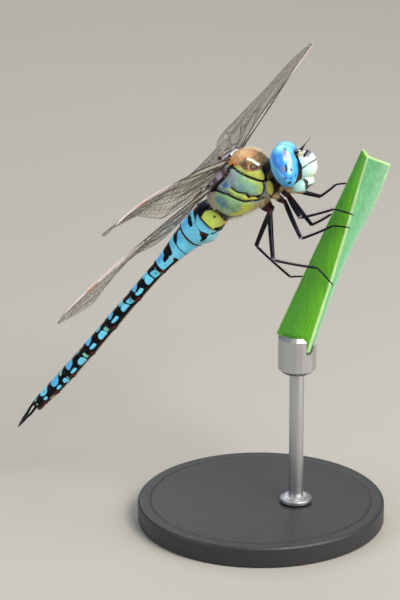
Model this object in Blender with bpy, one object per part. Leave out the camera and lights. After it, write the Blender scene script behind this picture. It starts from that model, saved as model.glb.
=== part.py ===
"""A male southern migrant hawker dragonfly (Aeshna affinis), life size, gripping a short cut
length of strap leaf that a plain stand holds up.

Frame: +Z up, the dragonfly faces +X, its right side is towards -Y. The origin is the middle of
the stand base's underside. Sizes below are millimetres; build_object turns them into metres.
"""

import math

import bpy
import numpy as np
from mathutils import Matrix

MM = 0.001
GAP = 0.2                      # clear space between touching pieces
BASE_HEIGHT = 3.0
BODY_AT = np.array([-9.0, 0.0, 31.0])   # where the body's own zero point sits in the world

# Abdomen: ten segments measured along its axis, from the thorax to the tail.
ABDOMEN_START = np.array([3.0, 0.0, 13.7])
SEGMENT_LENGTHS = (2.3, 3.9, 7.0, 5.9, 5.9, 5.3, 4.8, 3.6, 2.6, 1.3)
SEGMENT_PITCH = (46.0, 46.5, 49.5, 51.0, 52.0, 52.0, 51.0, 50.0, 47.0, 45.0)
# Half heights (above and below the axis) and half widths at the eleven segment joints.
ABDOMEN_UP = (1.75, 2.0, 1.72, 0.95, 0.92, 0.94, 0.95, 0.97, 0.93, 0.80, 0.66)
ABDOMEN_DOWN = (1.9, 2.2, 1.85, 0.95, 0.90, 0.92, 0.94, 0.96, 0.92, 0.80, 0.62)
ABDOMEN_SIDE = (2.0, 2.25, 1.80, 1.05, 1.15, 1.22, 1.25, 1.28, 1.22, 1.08, 0.90)
GENITAL_BULGE = 0.55           # extra depth under segment 2
TELESCOPE = 0.03               # each segment widens this much towards its rear edge
ABDOMEN_SIDES = 16

# Tail claspers: a leaf-shaped upper pair and one short lower one.
CLASPER_DROOP = 9.0            # how much steeper they run than the last segment
CLASPER_SIDES = 8
UPPER_LENGTH = 4.6
UPPER_ALONG = (0.0, 0.25, 0.5, 0.75, 1.0)
UPPER_WIDTH = (0.25, 0.30, 0.48, 0.42, 0.25)
UPPER_DEPTH = (0.25, 0.25, 0.27, 0.27, 0.25)
UPPER_APART = (0.55, 0.35)     # distance from the middle line at the ends, and the outward bow
UPPER_LIFT = 0.15
LOWER_LENGTH = 1.6
LOWER_ALONG = (0.0, 0.5, 1.0)
LOWER_WIDTH = (0.5, 0.42, 0.26)
LOWER_DEPTH = 0.25
LOWER_DROP = 0.42

# Thorax: an egg with its axis raised towards the head.
THORAX_CENTRE = np.array([6.1, 0.0, 17.6])
THORAX_PITCH = 38.0
THORAX_ALONG = (-5.15, -4.5, -3.2, -1.6, 0.2, 2.0, 3.4, 4.3, 4.85)
THORAX_UP = (0.45, 1.65, 2.75, 3.55, 4.1, 3.85, 3.3, 2.45, 1.25)
THORAX_DOWN = (2.55, 2.95, 3.5, 3.8, 3.95, 3.95, 3.3, 2.3, 1.1)
THORAX_SIDE = (1.75, 2.55, 3.1, 3.45, 3.55, 3.4, 2.95, 2.25, 1.2)
THORAX_SIDES, THORAX_RINGS = 24, 13
# Exponents of the section: a flat back at the rear that rounds off in front, and the belly.
BACK_SQUARE = ((1.0, 4.0), (2.9, 2.1))
BELLY_SQUARE = 2.2

# Prothorax: a short waisted collar between the thorax and the head.
NECK_REAR = np.array([10.0, 0.0, 18.5])
NECK_FRONT = np.array([11.1, 0.0, 19.3])
NECK_PITCH = 20.0
NECK_ALONG = (0.0, 0.35, 0.7, 1.0)
NECK_UP = (1.5, 1.45, 1.1, 0.85)
NECK_DOWN = (2.7, 2.6, 2.1, 1.5)
NECK_SIDE = (1.7, 1.65, 1.3, 0.95)
NECK_SIDES = 16

# Head, in its own axes: forward, left, up.
HEAD_CENTRE = np.array([12.9, 0.0, 20.6])
HEAD_PITCH = 11.5
HEAD_ROLL = -7.0               # lifts the right side of the head a little
HEAD_PIECES = (
    # name, centre, half sizes, sides, rings; a later piece is cut by the earlier ones
    ("face", (1.95, 0.0, 0.05), (1.8, 2.2, 1.85), 20, 11),
    ("labrum", (2.0, 0.0, -2.15), (1.0, 1.6, 0.85), 14, 7),
    ("vertex", (1.75, 0.0, 2.15), (0.5, 0.75, 0.45), 10, 5),
    ("mandible_right", (0.95, -1.35, -2.7), (1.1, 0.8, 0.95), 12, 7),
    ("mandible_left", (0.95, 1.35, -2.7), (1.1, 0.8, 0.95), 12, 7),
    ("labium", (0.2, 0.0, -2.9), (1.5, 1.5, 0.75), 12, 5),
    ("head", (-0.2, 0.0, -0.7), (2.0, 2.7, 2.5), 18, 9),
)
BLACK_PIECES = ("vertex", "head")
EYE_CENTRE = (-0.25, 1.5, 0.45)        # the left eye's
EYE_HALF = (2.2, 2.85, 2.95)
EYE_TAPER = 0.06                       # the lower end is this much slimmer
EYE_SIDES, EYE_RINGS = 24, 13
ANTENNA_ROOT = (2.35, 0.55, 2.4)       # the left antenna's
ANTENNA_TIP = (3.6, 1.15, 4.0)
ANTENNA_RADII = (0.26, 0.25)

# Wings: hinge, tip, chord pitch at the hinge and beyond the nodus, upward bow.
WINGS = {
    "wing_front_right": ((4.7, -2.75, 20.7), (6.8, -43.2, 26.7), 55.0, 45.0, 0.3),
    "wing_front_left": ((4.0, 2.75, 20.5), (1.2, 43.2, 25.6), 41.0, 44.0, 0.3),
    "wing_hind_right": ((2.9, -2.85, 17.3), (-1.8, -41.3, 12.7), 53.5, 53.5, 0.2),
    "wing_hind_left": ((2.8, 2.85, 17.4), (-5.8, 40.6, 15.6), 50.0, 50.0, 0.3),
}
WING_THICKNESS = 0.5
NODUS = 0.5                    # share of the span where the leading edge has its joint
NODUS_EASE = (0.06, 0.10)      # the chord's pitch turns from this far before it to this far beyond
WING_LEAD = 1.0                # the leading edge runs this far in front of the hinge line
TIP_FROM, TIP_SWEEP = 0.86, 2.6        # and curves back near the tip
WING_STATIONS = (0.0, 0.07, 0.14, 0.21, 0.28, 0.35, 0.42, 0.49, 0.56, 0.63, 0.70, 0.77, 0.84,
                 0.90, 0.95, 0.98, 1.0)
FRONT_CHORD = ((0.0, 1.9), (0.05, 4.0), (0.13, 5.8), (0.28, 7.5), (0.45, 8.5), (0.62, 8.8),
               (0.78, 8.2), (0.89, 6.6), (0.96, 4.2), (1.0, 1.0))
HIND_CHORD = ((0.0, 2.4), (0.03, 6.8), (0.08, 9.9), (0.16, 11.3), (0.28, 11.5), (0.45, 10.9),
              (0.62, 9.9), (0.78, 8.2), (0.89, 6.3), (0.96, 4.0), (1.0, 1.0))

# Legs: hip, knee, end of tibia, end of foot, for the right and the left side.
LEGS = {
    "leg_front_right": ((12.95, -1.1, 17.05), (15.6, -3.5, 14.8), (19.6, -1.5, 15.9), (21.86, -1.6, 15.56)),
    "leg_front_left": ((12.95, 1.1, 17.05), (16.0, 3.5, 15.7), (18.9, 1.2, 18.4), (20.6, 0.75, 18.9)),
    "leg_middle_right": ((12.45, -1.0, 16.1), (15.75, -3.5, 11.9), (19.4, -1.5, 13.5), (21.3, -1.45, 13.56)),
    "leg_middle_left": ((12.45, 1.0, 16.1), (14.8, 3.5, 11.5), (18.1, 1.4, 14.0), (19.9, 0.8, 14.6)),
    "leg_hind_right": ((10.25, -0.55, 14.5), (11.8, -3.5, 8.4), (17.3, -1.4, 7.3), (19.13, -1.2, 5.45)),
    "leg_hind_left": ((10.25, 0.55, 14.5), (7.3, 2.2, 8.0), (12.6, 1.3, 4.5), (14.6, 0.75, 5.0)),
}
COXA_TOP = {"front": (12.2, 0.75, 18.0), "middle": (11.3, 1.5, 17.0), "hind": (9.1, 0.9, 15.5)}
COXA_RADII = (0.62, 0.40)
FEMUR_RADII = {"front": (0.36, 0.28), "middle": (0.36, 0.28), "hind": (0.38, 0.29)}
TIBIA_RADII = (0.27, 0.25)
FOOT_RADII = (0.26, 0.25)
LIMB_SIDES = 8
LIMB_DOME = 0.7                # radius of a limb's flat end, as a share of the limb's own
JOINT_SHARE = {"coxa": 0.8, "femur": 0.6, "tibia": 0.6}   # how close the next piece comes, in radii

# Leaf: a narrow blade, edge on to the dragonfly and folded along its midrib. It twists as it
# rises, so that the held half turns away and the outer half turns to the right.
LEAF_LOW = np.array([12.1, 0.0, -1.0])     # a point on the edge that the feet hold
LEAF_PITCH = 66.6
LEAF_FROM, LEAF_TO = -2.5, 27.5            # the cut length, measured along that edge
LEAF_RINGS = 11
LEAF_THICKNESS = 0.6
LEAF_STATIONS = (-2.5, 9.0, 14.7, 20.0, 27.5)
RIDGE_OUT = (5.1, 3.7, 2.95, 2.2, 1.25)    # the midrib's distance outward from the held edge
RIDGE_RIGHT = (0.5, 0.5, 0.7, 0.95, 1.3)   # and to the right of it
LEAF_OUTER = 3.2                           # width of the outer half
OUTER_TURN = (97.0, 86.0, 72.0, 48.0, 20.0)    # its direction, from outward towards the left

# Stand
BASE_RADIUS = 17.0
BASE_BEVEL = 0.5
BASE_SIDES, ROD_SIDES, CLIP_SIDES = 48, 16, 20
ROD_RADIUS = 1.0
CLIP_RADIUS = 2.6
CLIP_MIDDLE = (3.0, 0.7)       # its axis, across from the held edge and to the left
CLIP_BELOW = 4.2               # how far the clip reaches below the leaf's cut end
CLIP_HEIGHT = 5.4


def smooth(at, stations, values):
    """Values at `at` on a smooth curve through (stations, values), with no overshoot."""
    x = np.asarray(stations, float)
    y = np.asarray(values, float)
    step = np.diff(x)
    slope = np.diff(y) / step
    middle = np.where(slope[1:] * slope[:-1] > 0,
                      2 * slope[1:] * slope[:-1] / (slope[1:] + slope[:-1] + 1e-12), 0.0)
    tangent = np.concatenate([[slope[0]], middle, [slope[-1]]])
    i = np.clip(np.searchsorted(x, at, side="right") - 1, 0, len(step) - 1)
    t = (at - x[i]) / step[i]
    return ((2 * t**3 - 3 * t**2 + 1) * y[i] + (t**3 - 2 * t**2 + t) * step[i] * tangent[i]
            + (3 * t**2 - 2 * t**3) * y[i + 1] + (t**3 - t**2) * step[i] * tangent[i + 1])


def unit(vector):
    return np.asarray(vector, float) / np.linalg.norm(vector)


def material(name, colour, roughness, metallic=0.0):
    made = bpy.data.materials.get(name) or bpy.data.materials.new(name)
    made.use_nodes = True
    shader = made.node_tree.nodes["Principled BSDF"]
    shader.inputs["Base Color"].default_value = (*colour, 1.0)
    shader.inputs["Roughness"].default_value = roughness
    shader.inputs["Metallic"].default_value = metallic
    return made


BLACK = material("black_shell", (0.012, 0.011, 0.018), 0.35)
BLUE = material("blue_shell", (0.12, 0.42, 0.75), 0.4)
GREEN = material("yellow_green_shell", (0.36, 0.45, 0.12), 0.4)
EYE = material("blue_eye", (0.10, 0.33, 0.80), 0.15)
FACE = material("pale_face", (0.62, 0.74, 0.62), 0.35)
WING = material("wing_membrane", (0.45, 0.44, 0.34), 0.25)
LEAF = material("leaf_green", (0.16, 0.42, 0.06), 0.45)
STEEL = material("stand_steel", (0.55, 0.55, 0.56), 0.3, 1.0)
PAINT = material("stand_paint", (0.03, 0.03, 0.035), 0.5)


def build_object(name, points, faces, finish, hidden=False):
    """One object from points in body millimetres; a hidden one is a cutter."""
    mesh = bpy.data.meshes.new(name)
    world = (np.asarray(points, float) + BODY_AT) * MM
    mesh.from_pydata(world.tolist(), [], faces)
    mesh.materials.append(finish)
    mesh.shade_smooth()
    mesh.set_sharp_from_angle(angle=math.radians(50))
    made = bpy.data.objects.new(name, mesh)
    bpy.context.collection.objects.link(made)
    if hidden:
        made.hide_render = True
        made.display_type = "WIRE"
    return made


def loft_faces(rings, sides):
    """Quads between closed rings of points, with a flat end at each side."""
    faces = []
    for r in range(rings - 1):
        for s in range(sides):
            a, b = r * sides + s, r * sides + (s + 1) % sides
            faces.append((a, b, b + sides, a + sides))
    faces.append(tuple(reversed(range(sides))))
    faces.append(tuple(range((rings - 1) * sides, rings * sides)))
    return faces


def loft(name, rings, finish, hidden=False):
    """A closed solid through rings (count, sides, 3) that turn counter-clockwise about the
    direction they advance in."""
    count, sides, _ = rings.shape
    return build_object(name, rings.reshape(-1, 3), loft_faces(count, sides), finish, hidden)


def section_rings(centres, pitches, up, down, side, sides, square_up=2.0, square_down=2.0):
    """Rings across the XZ plane. Each is a superellipse with its own height above and below
    its centre; pitches are the angles of the axis above +X, and rings advance along it."""
    angle = np.arange(sides) * 2 * np.pi / sides
    cos, sin = np.cos(angle), np.sin(angle)
    square = np.where(sin > 0, 2 / np.atleast_1d(square_up)[:, None], 2 / np.atleast_1d(square_down)[:, None])
    across = np.sign(cos) * np.abs(cos) ** square * side[:, None]
    height = np.sign(sin) * np.abs(sin) ** square * np.where(sin > 0, up[:, None], down[:, None])
    pitch = np.radians(pitches)[:, None]
    return np.stack([centres[:, 0, None] - np.sin(pitch) * height,
                     centres[:, 1, None] + across,
                     centres[:, 2, None] + np.cos(pitch) * height], axis=-1)


def cut(target, cutters):
    """Takes the cutters out of target."""
    for n, cutter in enumerate(cutters):
        tool = target.modifiers.new(f"cut_{n}", "BOOLEAN")
        tool.operation = "DIFFERENCE"
        tool.solver = "EXACT"
        tool.object = cutter


# ---- abdomen ----

SEGMENT_ENDS = np.concatenate([[0.0], np.cumsum(SEGMENT_LENGTHS)])


def abdomen_axis(at):
    """The point on the abdomen's axis, and its pitch, at a distance from the thorax."""
    fine = np.linspace(0.0, SEGMENT_ENDS[-1], 200)
    middles = (SEGMENT_ENDS[1:] + SEGMENT_ENDS[:-1]) / 2
    pitch = np.interp(fine, middles, SEGMENT_PITCH)
    turn = np.radians(pitch)
    step = fine[1] - fine[0]
    x = ABDOMEN_START[0] - np.concatenate([[0.0], np.cumsum(np.cos(turn[:-1]) * step)])
    z = ABDOMEN_START[2] - np.concatenate([[0.0], np.cumsum(np.sin(turn[:-1]) * step)])
    centre = np.stack([np.interp(at, fine, x), np.zeros_like(at), np.interp(at, fine, z)], axis=1)
    return centre, np.interp(at, fine, pitch)


def make_abdomen():
    for n in range(10):
        first, last = SEGMENT_ENDS[n], SEGMENT_ENDS[n + 1]
        count = 7 if n in (1, 2) else 5
        # rings run from the tail end to the head end, so that they advance up the axis
        at = np.linspace(last - GAP / 2, first + GAP / 2, count)
        centre, pitch = abdomen_axis(at)
        flare = 1 + TELESCOPE * ((at - first) / (last - first) * 2 - 1)
        up = smooth(at, SEGMENT_ENDS, ABDOMEN_UP) * flare
        down = smooth(at, SEGMENT_ENDS, ABDOMEN_DOWN) * flare
        side = smooth(at, SEGMENT_ENDS, ABDOMEN_SIDE) * flare
        if n == 1:
            down = down + GENITAL_BULGE * np.sin(np.pi * (at - first) / (last - first)) ** 2
        finish = GREEN if n == 0 else BLUE if n in (1, 2) else BLACK
        rings = section_rings(centre, pitch, up, down, side, ABDOMEN_SIDES)
        loft(f"abdomen_{n + 1:02d}", rings, finish)


def make_appendages():
    end, pitch = abdomen_axis(np.array([SEGMENT_ENDS[-1]]))
    turn = math.radians(pitch[0] + CLASPER_DROOP)
    back = np.array([-math.cos(turn), 0.0, -math.sin(turn)])
    top = np.array([-math.sin(turn), 0.0, math.cos(turn)])
    angle = np.arange(CLASPER_SIDES) * 2 * np.pi / CLASPER_SIDES
    apart, bow = UPPER_APART

    def clasper(name, along, widths, depths, length, lift, sideways):
        rings = []
        for t, w, d, y in zip(along, widths, depths, sideways):
            middle = end[0] + back * (GAP + length * t) + top * lift + np.array([0.0, y, 0.0])
            rings.append(middle + np.outer(np.cos(angle) * w, (0, 1, 0)) + np.outer(np.sin(angle) * d, top))
        loft(name, np.array(rings)[::-1], BLACK)

    for name, hand in (("appendage_right", -1), ("appendage_left", 1)):
        sideways = [hand * (apart + bow * math.sin(math.pi * t)) for t in UPPER_ALONG]
        clasper(name, UPPER_ALONG, UPPER_WIDTH, UPPER_DEPTH, UPPER_LENGTH, UPPER_LIFT, sideways)
    depths = [LOWER_DEPTH] * len(LOWER_ALONG)
    middle_line = [0.0] * len(LOWER_ALONG)
    clasper("appendage_lower", LOWER_ALONG, LOWER_WIDTH, depths, LOWER_LENGTH, -LOWER_DROP, middle_line)


# ---- thorax and neck ----


def thorax_rings(grow=0.0):
    along = np.linspace(THORAX_ALONG[0], THORAX_ALONG[-1], THORAX_RINGS)
    up = smooth(along, THORAX_ALONG, THORAX_UP) + grow
    down = smooth(along, THORAX_ALONG, THORAX_DOWN) + grow
    side = smooth(along, THORAX_ALONG, THORAX_SIDE) + grow
    turn = math.radians(THORAX_PITCH)
    stretched = along + grow * np.linspace(-1, 1, THORAX_RINGS)
    centre = THORAX_CENTRE + np.outer(stretched, (math.cos(turn), 0.0, math.sin(turn)))
    return section_rings(centre, np.full(THORAX_RINGS, THORAX_PITCH), up, down, side, THORAX_SIDES,
                         np.interp(along, *BACK_SQUARE), np.full(THORAX_RINGS, BELLY_SQUARE))


def neck_rings(grow=0.0):
    axis = NECK_FRONT - NECK_REAR
    centre = NECK_REAR + np.outer(NECK_ALONG, axis)
    centre[0] -= unit(axis) * grow
    centre[-1] += unit(axis) * grow
    pitches = np.full(len(NECK_ALONG), NECK_PITCH)
    return section_rings(centre, pitches, np.array(NECK_UP) + grow, np.array(NECK_DOWN) + grow,
                         np.array(NECK_SIDE) + grow, NECK_SIDES)


def make_trunk():
    loft("thorax", thorax_rings(), GREEN)
    neck = loft("prothorax", neck_rings(), GREEN)
    cutter = loft("cutter_thorax", thorax_rings(GAP), GREEN, hidden=True)
    cut(neck, [cutter])
    cut(bpy.data.objects["abdomen_01"], [cutter])
    loft("cutter_prothorax", neck_rings(GAP), GREEN, hidden=True)


# ---- head ----


def head_matrix():
    """Head axes (forward, left, up) to body axes."""
    return (Matrix.Rotation(math.radians(-HEAD_PITCH), 3, "Y")
            @ Matrix.Rotation(math.radians(HEAD_ROLL), 3, "X"))


def dome(name, centre, semi, finish, around, rings, grow=0.0, taper=0.0, flat_at=None, hidden=False):
    """An ellipsoid in head axes. taper makes its lower end slimmer, and flat_at presses it
    against an upright plane beside the middle of the head."""
    size = np.asarray(semi, float) + grow
    fall = np.linspace(np.pi, 0, rings + 2)[1:-1]
    turn = np.arange(around) * 2 * np.pi / around
    ring = np.sin(fall)[:, None]
    slim = 1 + taper * np.cos(fall)[:, None]
    points = np.stack([ring * np.cos(turn) * size[0] * slim, ring * np.sin(turn) * size[1] * slim,
                       np.cos(fall)[:, None] * np.ones(around) * size[2]], axis=-1).reshape(-1, 3)
    points = np.vstack([points, [0, 0, -size[2]], [0, 0, size[2]]]) + np.asarray(centre, float)
    if flat_at is not None:
        hand = math.copysign(1.0, centre[1])
        points[:, 1] = np.where(points[:, 1] * hand < flat_at, flat_at * hand, points[:, 1])
    faces = []
    for r in range(rings - 1):
        for s in range(around):
            a, b = r * around + s, r * around + (s + 1) % around
            faces.append((a, b, b + around, a + around))
    low, high = rings * around, rings * around + 1
    for s in range(around):
        a, b = s, (s + 1) % around
        faces.append((low, b, a))
        faces.append((high, (rings - 1) * around + a, (rings - 1) * around + b))
    turned = points @ np.array(head_matrix()).T + HEAD_CENTRE
    return build_object(name, turned, faces, finish, hidden)


def make_head():
    earlier = []
    for name, centre, semi, around, rings in HEAD_PIECES:
        finish = BLACK if name in BLACK_PIECES else FACE
        cut(dome(name, centre, semi, finish, around, rings), earlier)
        cutter = dome(f"cutter_{name}", centre, semi, finish, around, rings, GAP, hidden=True)
        earlier = earlier + [cutter]
    for name, hand in (("eye_right", -1), ("eye_left", 1)):
        centre = np.array(EYE_CENTRE) * (1, hand, 1)
        eye = dome(name, centre, EYE_HALF, EYE, EYE_SIDES, EYE_RINGS, 0.0, EYE_TAPER, GAP / 2)
        cut(eye, earlier)
    cut(bpy.data.objects["prothorax"], [bpy.data.objects["cutter_head"], bpy.data.objects["cutter_labium"]])


def limb(name, start, end, radii, finish, trim=0.0):
    """A tapered rod with domed ends; trim is how far it starts short of its first point."""
    start, end = np.asarray(start, float), np.asarray(end, float)
    way = unit(end - start)
    start = start + way * trim
    length = np.linalg.norm(end - start)
    side = unit(np.cross(way, (0.0, 0.0, 1.0) if abs(way[2]) < 0.9 else (1.0, 0.0, 0.0)))
    other = np.cross(way, side)
    lift = 1 - math.sqrt(1 - LIMB_DOME**2)
    along = np.array([0.0, lift * radii[0], length - lift * radii[1], length])
    radius = np.array([LIMB_DOME * radii[0], radii[0], radii[1], LIMB_DOME * radii[1]])
    angle = np.arange(LIMB_SIDES) * 2 * np.pi / LIMB_SIDES
    spokes = np.outer(np.cos(angle), side) + np.outer(np.sin(angle), other)
    rings = start + along[:, None, None] * way + radius[:, None, None] * spokes
    return loft(name, rings, finish)


def make_antennae():
    turn = np.array(head_matrix())
    for name, hand in (("antenna_right", -1), ("antenna_left", 1)):
        root = np.array(ANTENNA_ROOT) * (1, hand, 1)
        tip = np.array(ANTENNA_TIP) * (1, hand, 1)
        limb(name, turn @ root + HEAD_CENTRE, turn @ tip + HEAD_CENTRE, ANTENNA_RADII, BLACK)


# ---- legs ----


def make_legs():
    cutters = [bpy.data.objects[n] for n in ("cutter_thorax", "cutter_prothorax", "cutter_labium", "cutter_head")]
    for name, (hip, knee, ankle, toe) in LEGS.items():
        pair = name.split("_")[1]
        hand = -1 if name.endswith("right") else 1
        top = np.array(COXA_TOP[pair]) * (1, hand, 1)
        thigh = FEMUR_RADII[pair]
        cut(limb(f"{name}_coxa", top, hip, COXA_RADII, GREEN), cutters)
        limb(f"{name}_femur", hip, knee, thigh, BLACK, JOINT_SHARE["coxa"] * COXA_RADII[1] + GAP)
        limb(f"{name}_tibia", knee, ankle, TIBIA_RADII, BLACK, JOINT_SHARE["femur"] * thigh[1] + GAP)
        limb(f"{name}_foot", ankle, toe, FOOT_RADII, BLACK, JOINT_SHARE["tibia"] * TIBIA_RADII[1] + GAP)


# ---- wings ----


def wing_rings(hinge, tip, pitch_in, pitch_out, bow, chords):
    """Slab sections across the span. The leading edge runs straight and curves back near the
    tip; the chord's pitch turns at the nodus; the whole wing bows up a little in the middle."""
    hinge, tip = np.asarray(hinge, float), np.asarray(tip, float)
    span = np.linalg.norm(tip - hinge)
    out = (tip - hinge) / span
    forward = unit(np.array([1.0, 0.0, 0.0]) - out[0] * out)
    above = np.cross(out, forward)
    above = above * math.copysign(1.0, above[2])
    t = np.array(WING_STATIONS)
    ease = np.clip((t - NODUS + NODUS_EASE[0]) / sum(NODUS_EASE), 0, 1)
    pitch = np.radians(pitch_in + (pitch_out - pitch_in) * ease * ease * (3 - 2 * ease))[:, None]
    chordwise = np.cos(pitch) * forward + np.sin(pitch) * above
    normal = -np.sin(pitch) * forward + np.cos(pitch) * above
    middle = hinge + np.outer(t * span, out) + np.outer(4 * bow * t * (1 - t), above)
    lead = WING_LEAD - TIP_SWEEP * np.clip((t - TIP_FROM) / (1 - TIP_FROM), 0, 1) ** 2
    chord = smooth(t, [c[0] for c in chords], [c[1] for c in chords])
    half = WING_THICKNESS / 2
    ring = []
    for share, lift in ((0.0, 1), (0.5, 1), (1.0, 1), (1.0, -1), (0.5, -1), (0.0, -1)):
        ring.append(middle + chordwise * (lead - chord * share)[:, None] + normal * half * lift)
    ring = np.stack(ring, axis=1)
    return ring if out[1] < 0 else ring[:, ::-1]


def make_wings():
    for name, (hinge, tip, pitch_in, pitch_out, bow) in WINGS.items():
        chords = FRONT_CHORD if "front" in name else HIND_CHORD
        wing = loft(name, wing_rings(hinge, tip, pitch_in, pitch_out, bow, chords), WING)
        cut(wing, [bpy.data.objects["cutter_thorax"]])


# ---- leaf and stand ----


def leaf_axes():
    """Along the held edge, and across the blade away from the dragonfly."""
    turn = math.radians(LEAF_PITCH)
    return np.array([math.cos(turn), 0.0, math.sin(turn)]), np.array([math.sin(turn), 0.0, -math.cos(turn)])


def leaf_rings(grow=0.0):
    """Sections of the folded blade: a wall of even thickness along the held edge, the midrib
    and the outer edge, its corner at the midrib mitred."""
    rise, outward = leaf_axes()
    along = np.linspace(LEAF_FROM - grow, LEAF_TO + grow, LEAF_RINGS)
    out = smooth(along, LEAF_STATIONS, RIDGE_OUT)
    right = smooth(along, LEAF_STATIONS, RIDGE_RIGHT)
    turns = np.radians(smooth(along, LEAF_STATIONS, OUTER_TURN))
    half = LEAF_THICKNESS / 2 + grow
    rings = []
    for s, a, b, turn in zip(along, out, right, turns):
        held = np.array([0.0, 0.0])
        ridge = np.array([a, -b])
        first = unit(ridge - held)
        second = np.array([math.cos(turn), math.sin(turn)])
        edge = ridge + second * (LEAF_OUTER + grow)
        first_normal = np.array([-first[1], first[0]])
        second_normal = np.array([-second[1], second[0]])
        mitre = (first_normal + second_normal) / (1 + first_normal @ second_normal)
        held = held - first * grow
        offsets = ((held, first_normal), (ridge, mitre), (edge, second_normal))
        profile = [p - n * half for p, n in offsets] + [p + n * half for p, n in reversed(offsets)]
        rings.append([LEAF_LOW + rise * s + outward * u + (0, v, 0) for u, v in profile])
    return np.array(rings)


def disc_stack(name, centre, steps, sides, finish):
    """A turned piece on an upright axis: steps are (radius, height) from its foot up."""
    angle = np.arange(sides) * 2 * np.pi / sides
    circle = np.stack([np.cos(angle), np.sin(angle), np.zeros(sides)], axis=1)
    return loft(name, np.array([centre + circle * r + (0, 0, z) for r, z in steps]), finish)


def make_stand():
    """A round flat base, one rod, and a slotted clip that takes the leaf's cut end."""
    floor = -BODY_AT[2]
    base_top = floor + BASE_HEIGHT
    bevel = BASE_BEVEL
    disc_stack("stand_base", -BODY_AT * (1, 1, 0),
               ((BASE_RADIUS - bevel, floor), (BASE_RADIUS, floor + bevel),
                (BASE_RADIUS, base_top - bevel), (BASE_RADIUS - bevel, base_top)), BASE_SIDES, PAINT)
    rise, outward = leaf_axes()
    across, left = CLIP_MIDDLE
    end = LEAF_LOW + rise * LEAF_FROM + outward * across
    foot = np.array([end[0], left, 0.0])
    clip_low = end[2] - CLIP_BELOW
    clip_high = clip_low + CLIP_HEIGHT
    rod = ((ROD_RADIUS, base_top + GAP), (ROD_RADIUS, clip_low - GAP))
    disc_stack("stand_rod", foot, rod, ROD_SIDES, STEEL)
    clip = disc_stack("stand_clip", foot,
                      ((CLIP_RADIUS - bevel, clip_low), (CLIP_RADIUS, clip_low + bevel),
                       (CLIP_RADIUS, clip_high - bevel), (CLIP_RADIUS - bevel, clip_high)),
                      CLIP_SIDES, STEEL)
    loft("stand_perch", leaf_rings(), LEAF)
    cut(clip, [loft("cutter_perch", leaf_rings(GAP), LEAF, hidden=True)])


def main():
    for old in list(bpy.data.objects):
        bpy.data.objects.remove(old, do_unlink=True)
    make_abdomen()
    make_appendages()
    make_trunk()
    make_head()
    make_antennae()
    make_legs()
    make_wings()
    make_stand()


main()
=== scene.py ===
import math

import bpy
import numpy as np
from mathutils import Matrix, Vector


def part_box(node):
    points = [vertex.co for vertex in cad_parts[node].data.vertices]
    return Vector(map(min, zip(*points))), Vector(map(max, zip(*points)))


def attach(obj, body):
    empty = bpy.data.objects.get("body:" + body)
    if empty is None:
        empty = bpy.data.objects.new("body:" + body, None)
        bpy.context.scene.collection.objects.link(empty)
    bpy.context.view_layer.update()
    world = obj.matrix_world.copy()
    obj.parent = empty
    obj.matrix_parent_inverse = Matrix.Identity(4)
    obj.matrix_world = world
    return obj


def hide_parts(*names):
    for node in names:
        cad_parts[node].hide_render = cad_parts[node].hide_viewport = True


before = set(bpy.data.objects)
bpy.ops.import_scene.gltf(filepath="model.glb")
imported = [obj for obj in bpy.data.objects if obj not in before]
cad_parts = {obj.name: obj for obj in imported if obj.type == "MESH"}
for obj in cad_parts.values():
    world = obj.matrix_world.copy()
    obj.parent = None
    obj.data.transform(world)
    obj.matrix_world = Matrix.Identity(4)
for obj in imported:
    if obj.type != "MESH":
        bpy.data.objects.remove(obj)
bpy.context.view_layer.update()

# A male southern migrant hawker, life size, holding a cut length of strap leaf on a plain stand.
# Sizes are millimetres in the body's own axes: x forward, y left, z up. makePiece turns them to metres.
mm = 0.001


# An sRGB hex colour as linear red, green and blue.
def linear(code):
    raw = np.array([int(code[i:i + 2], 16) for i in (1, 3, 5)]) / 255
    return np.where(raw <= 0.04045, raw / 12.92, ((raw + 0.055) / 1.055) ** 2.4)


# A smooth climb from 0 to 1 between low and high: t * t * (3 - 2t).
def ease(value, low, high):
    t = np.clip((np.asarray(value, float) - low) / (high - low), 0, 1)
    return t * t * (3 - 2 * t)


# A bell of height 1: e to the power of minus the squared distance from middle over width.
def bell(value, middle, width):
    return np.exp(-((value - middle) / width) ** 2)


# A curve through (stations, values) that never overshoots: a cubic in each gap, its slope at each
# station the harmonic mean of the slopes beside it.
def curveThrough(at, stations, values):
    x = np.asarray(stations, float)
    y = np.asarray(values, float)
    step = np.diff(x)
    slope = np.diff(y) / step
    product = slope[1:] * slope[:-1]
    middle = np.where(product > 0, 2 * product / (slope[1:] + slope[:-1] + 1e-12), 0.0)
    tangent = np.concatenate([[slope[0]], middle, [slope[-1]]])
    i = np.clip(np.searchsorted(x, at, side="right") - 1, 0, len(step) - 1)
    t = (at - x[i]) / step[i]
    return ((2 * t**3 - 3 * t**2 + 1) * y[i] + (t**3 - 2 * t**2 + t) * step[i] * tangent[i]
            + (3 * t**2 - 2 * t**3) * y[i + 1] + (t**3 - t**2) * step[i] * tangent[i + 1])


# A vector, or each row of vectors, over its own length.
def unit(vector):
    vector = np.asarray(vector, float)
    return vector / np.linalg.norm(vector, axis=-1, keepdims=True)


# Rounds a chain's corners by cutting each one off at a seventh of its sides, twice over.
def roundCorners(chain, closed):
    points = np.asarray(chain, float)
    for _ in range(2):
        following = np.roll(points, -1, axis=0)
        cutPoints = np.stack([0.86 * points + 0.14 * following, 0.14 * points + 0.86 * following], 1)
        if closed:
            points = cutPoints.reshape(-1, points.shape[1])
        else:
            inner = cutPoints[:-1].reshape(-1, points.shape[1])[1:-1]
            points = np.vstack([points[:1], inner, points[-1:]])
    return points


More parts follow.
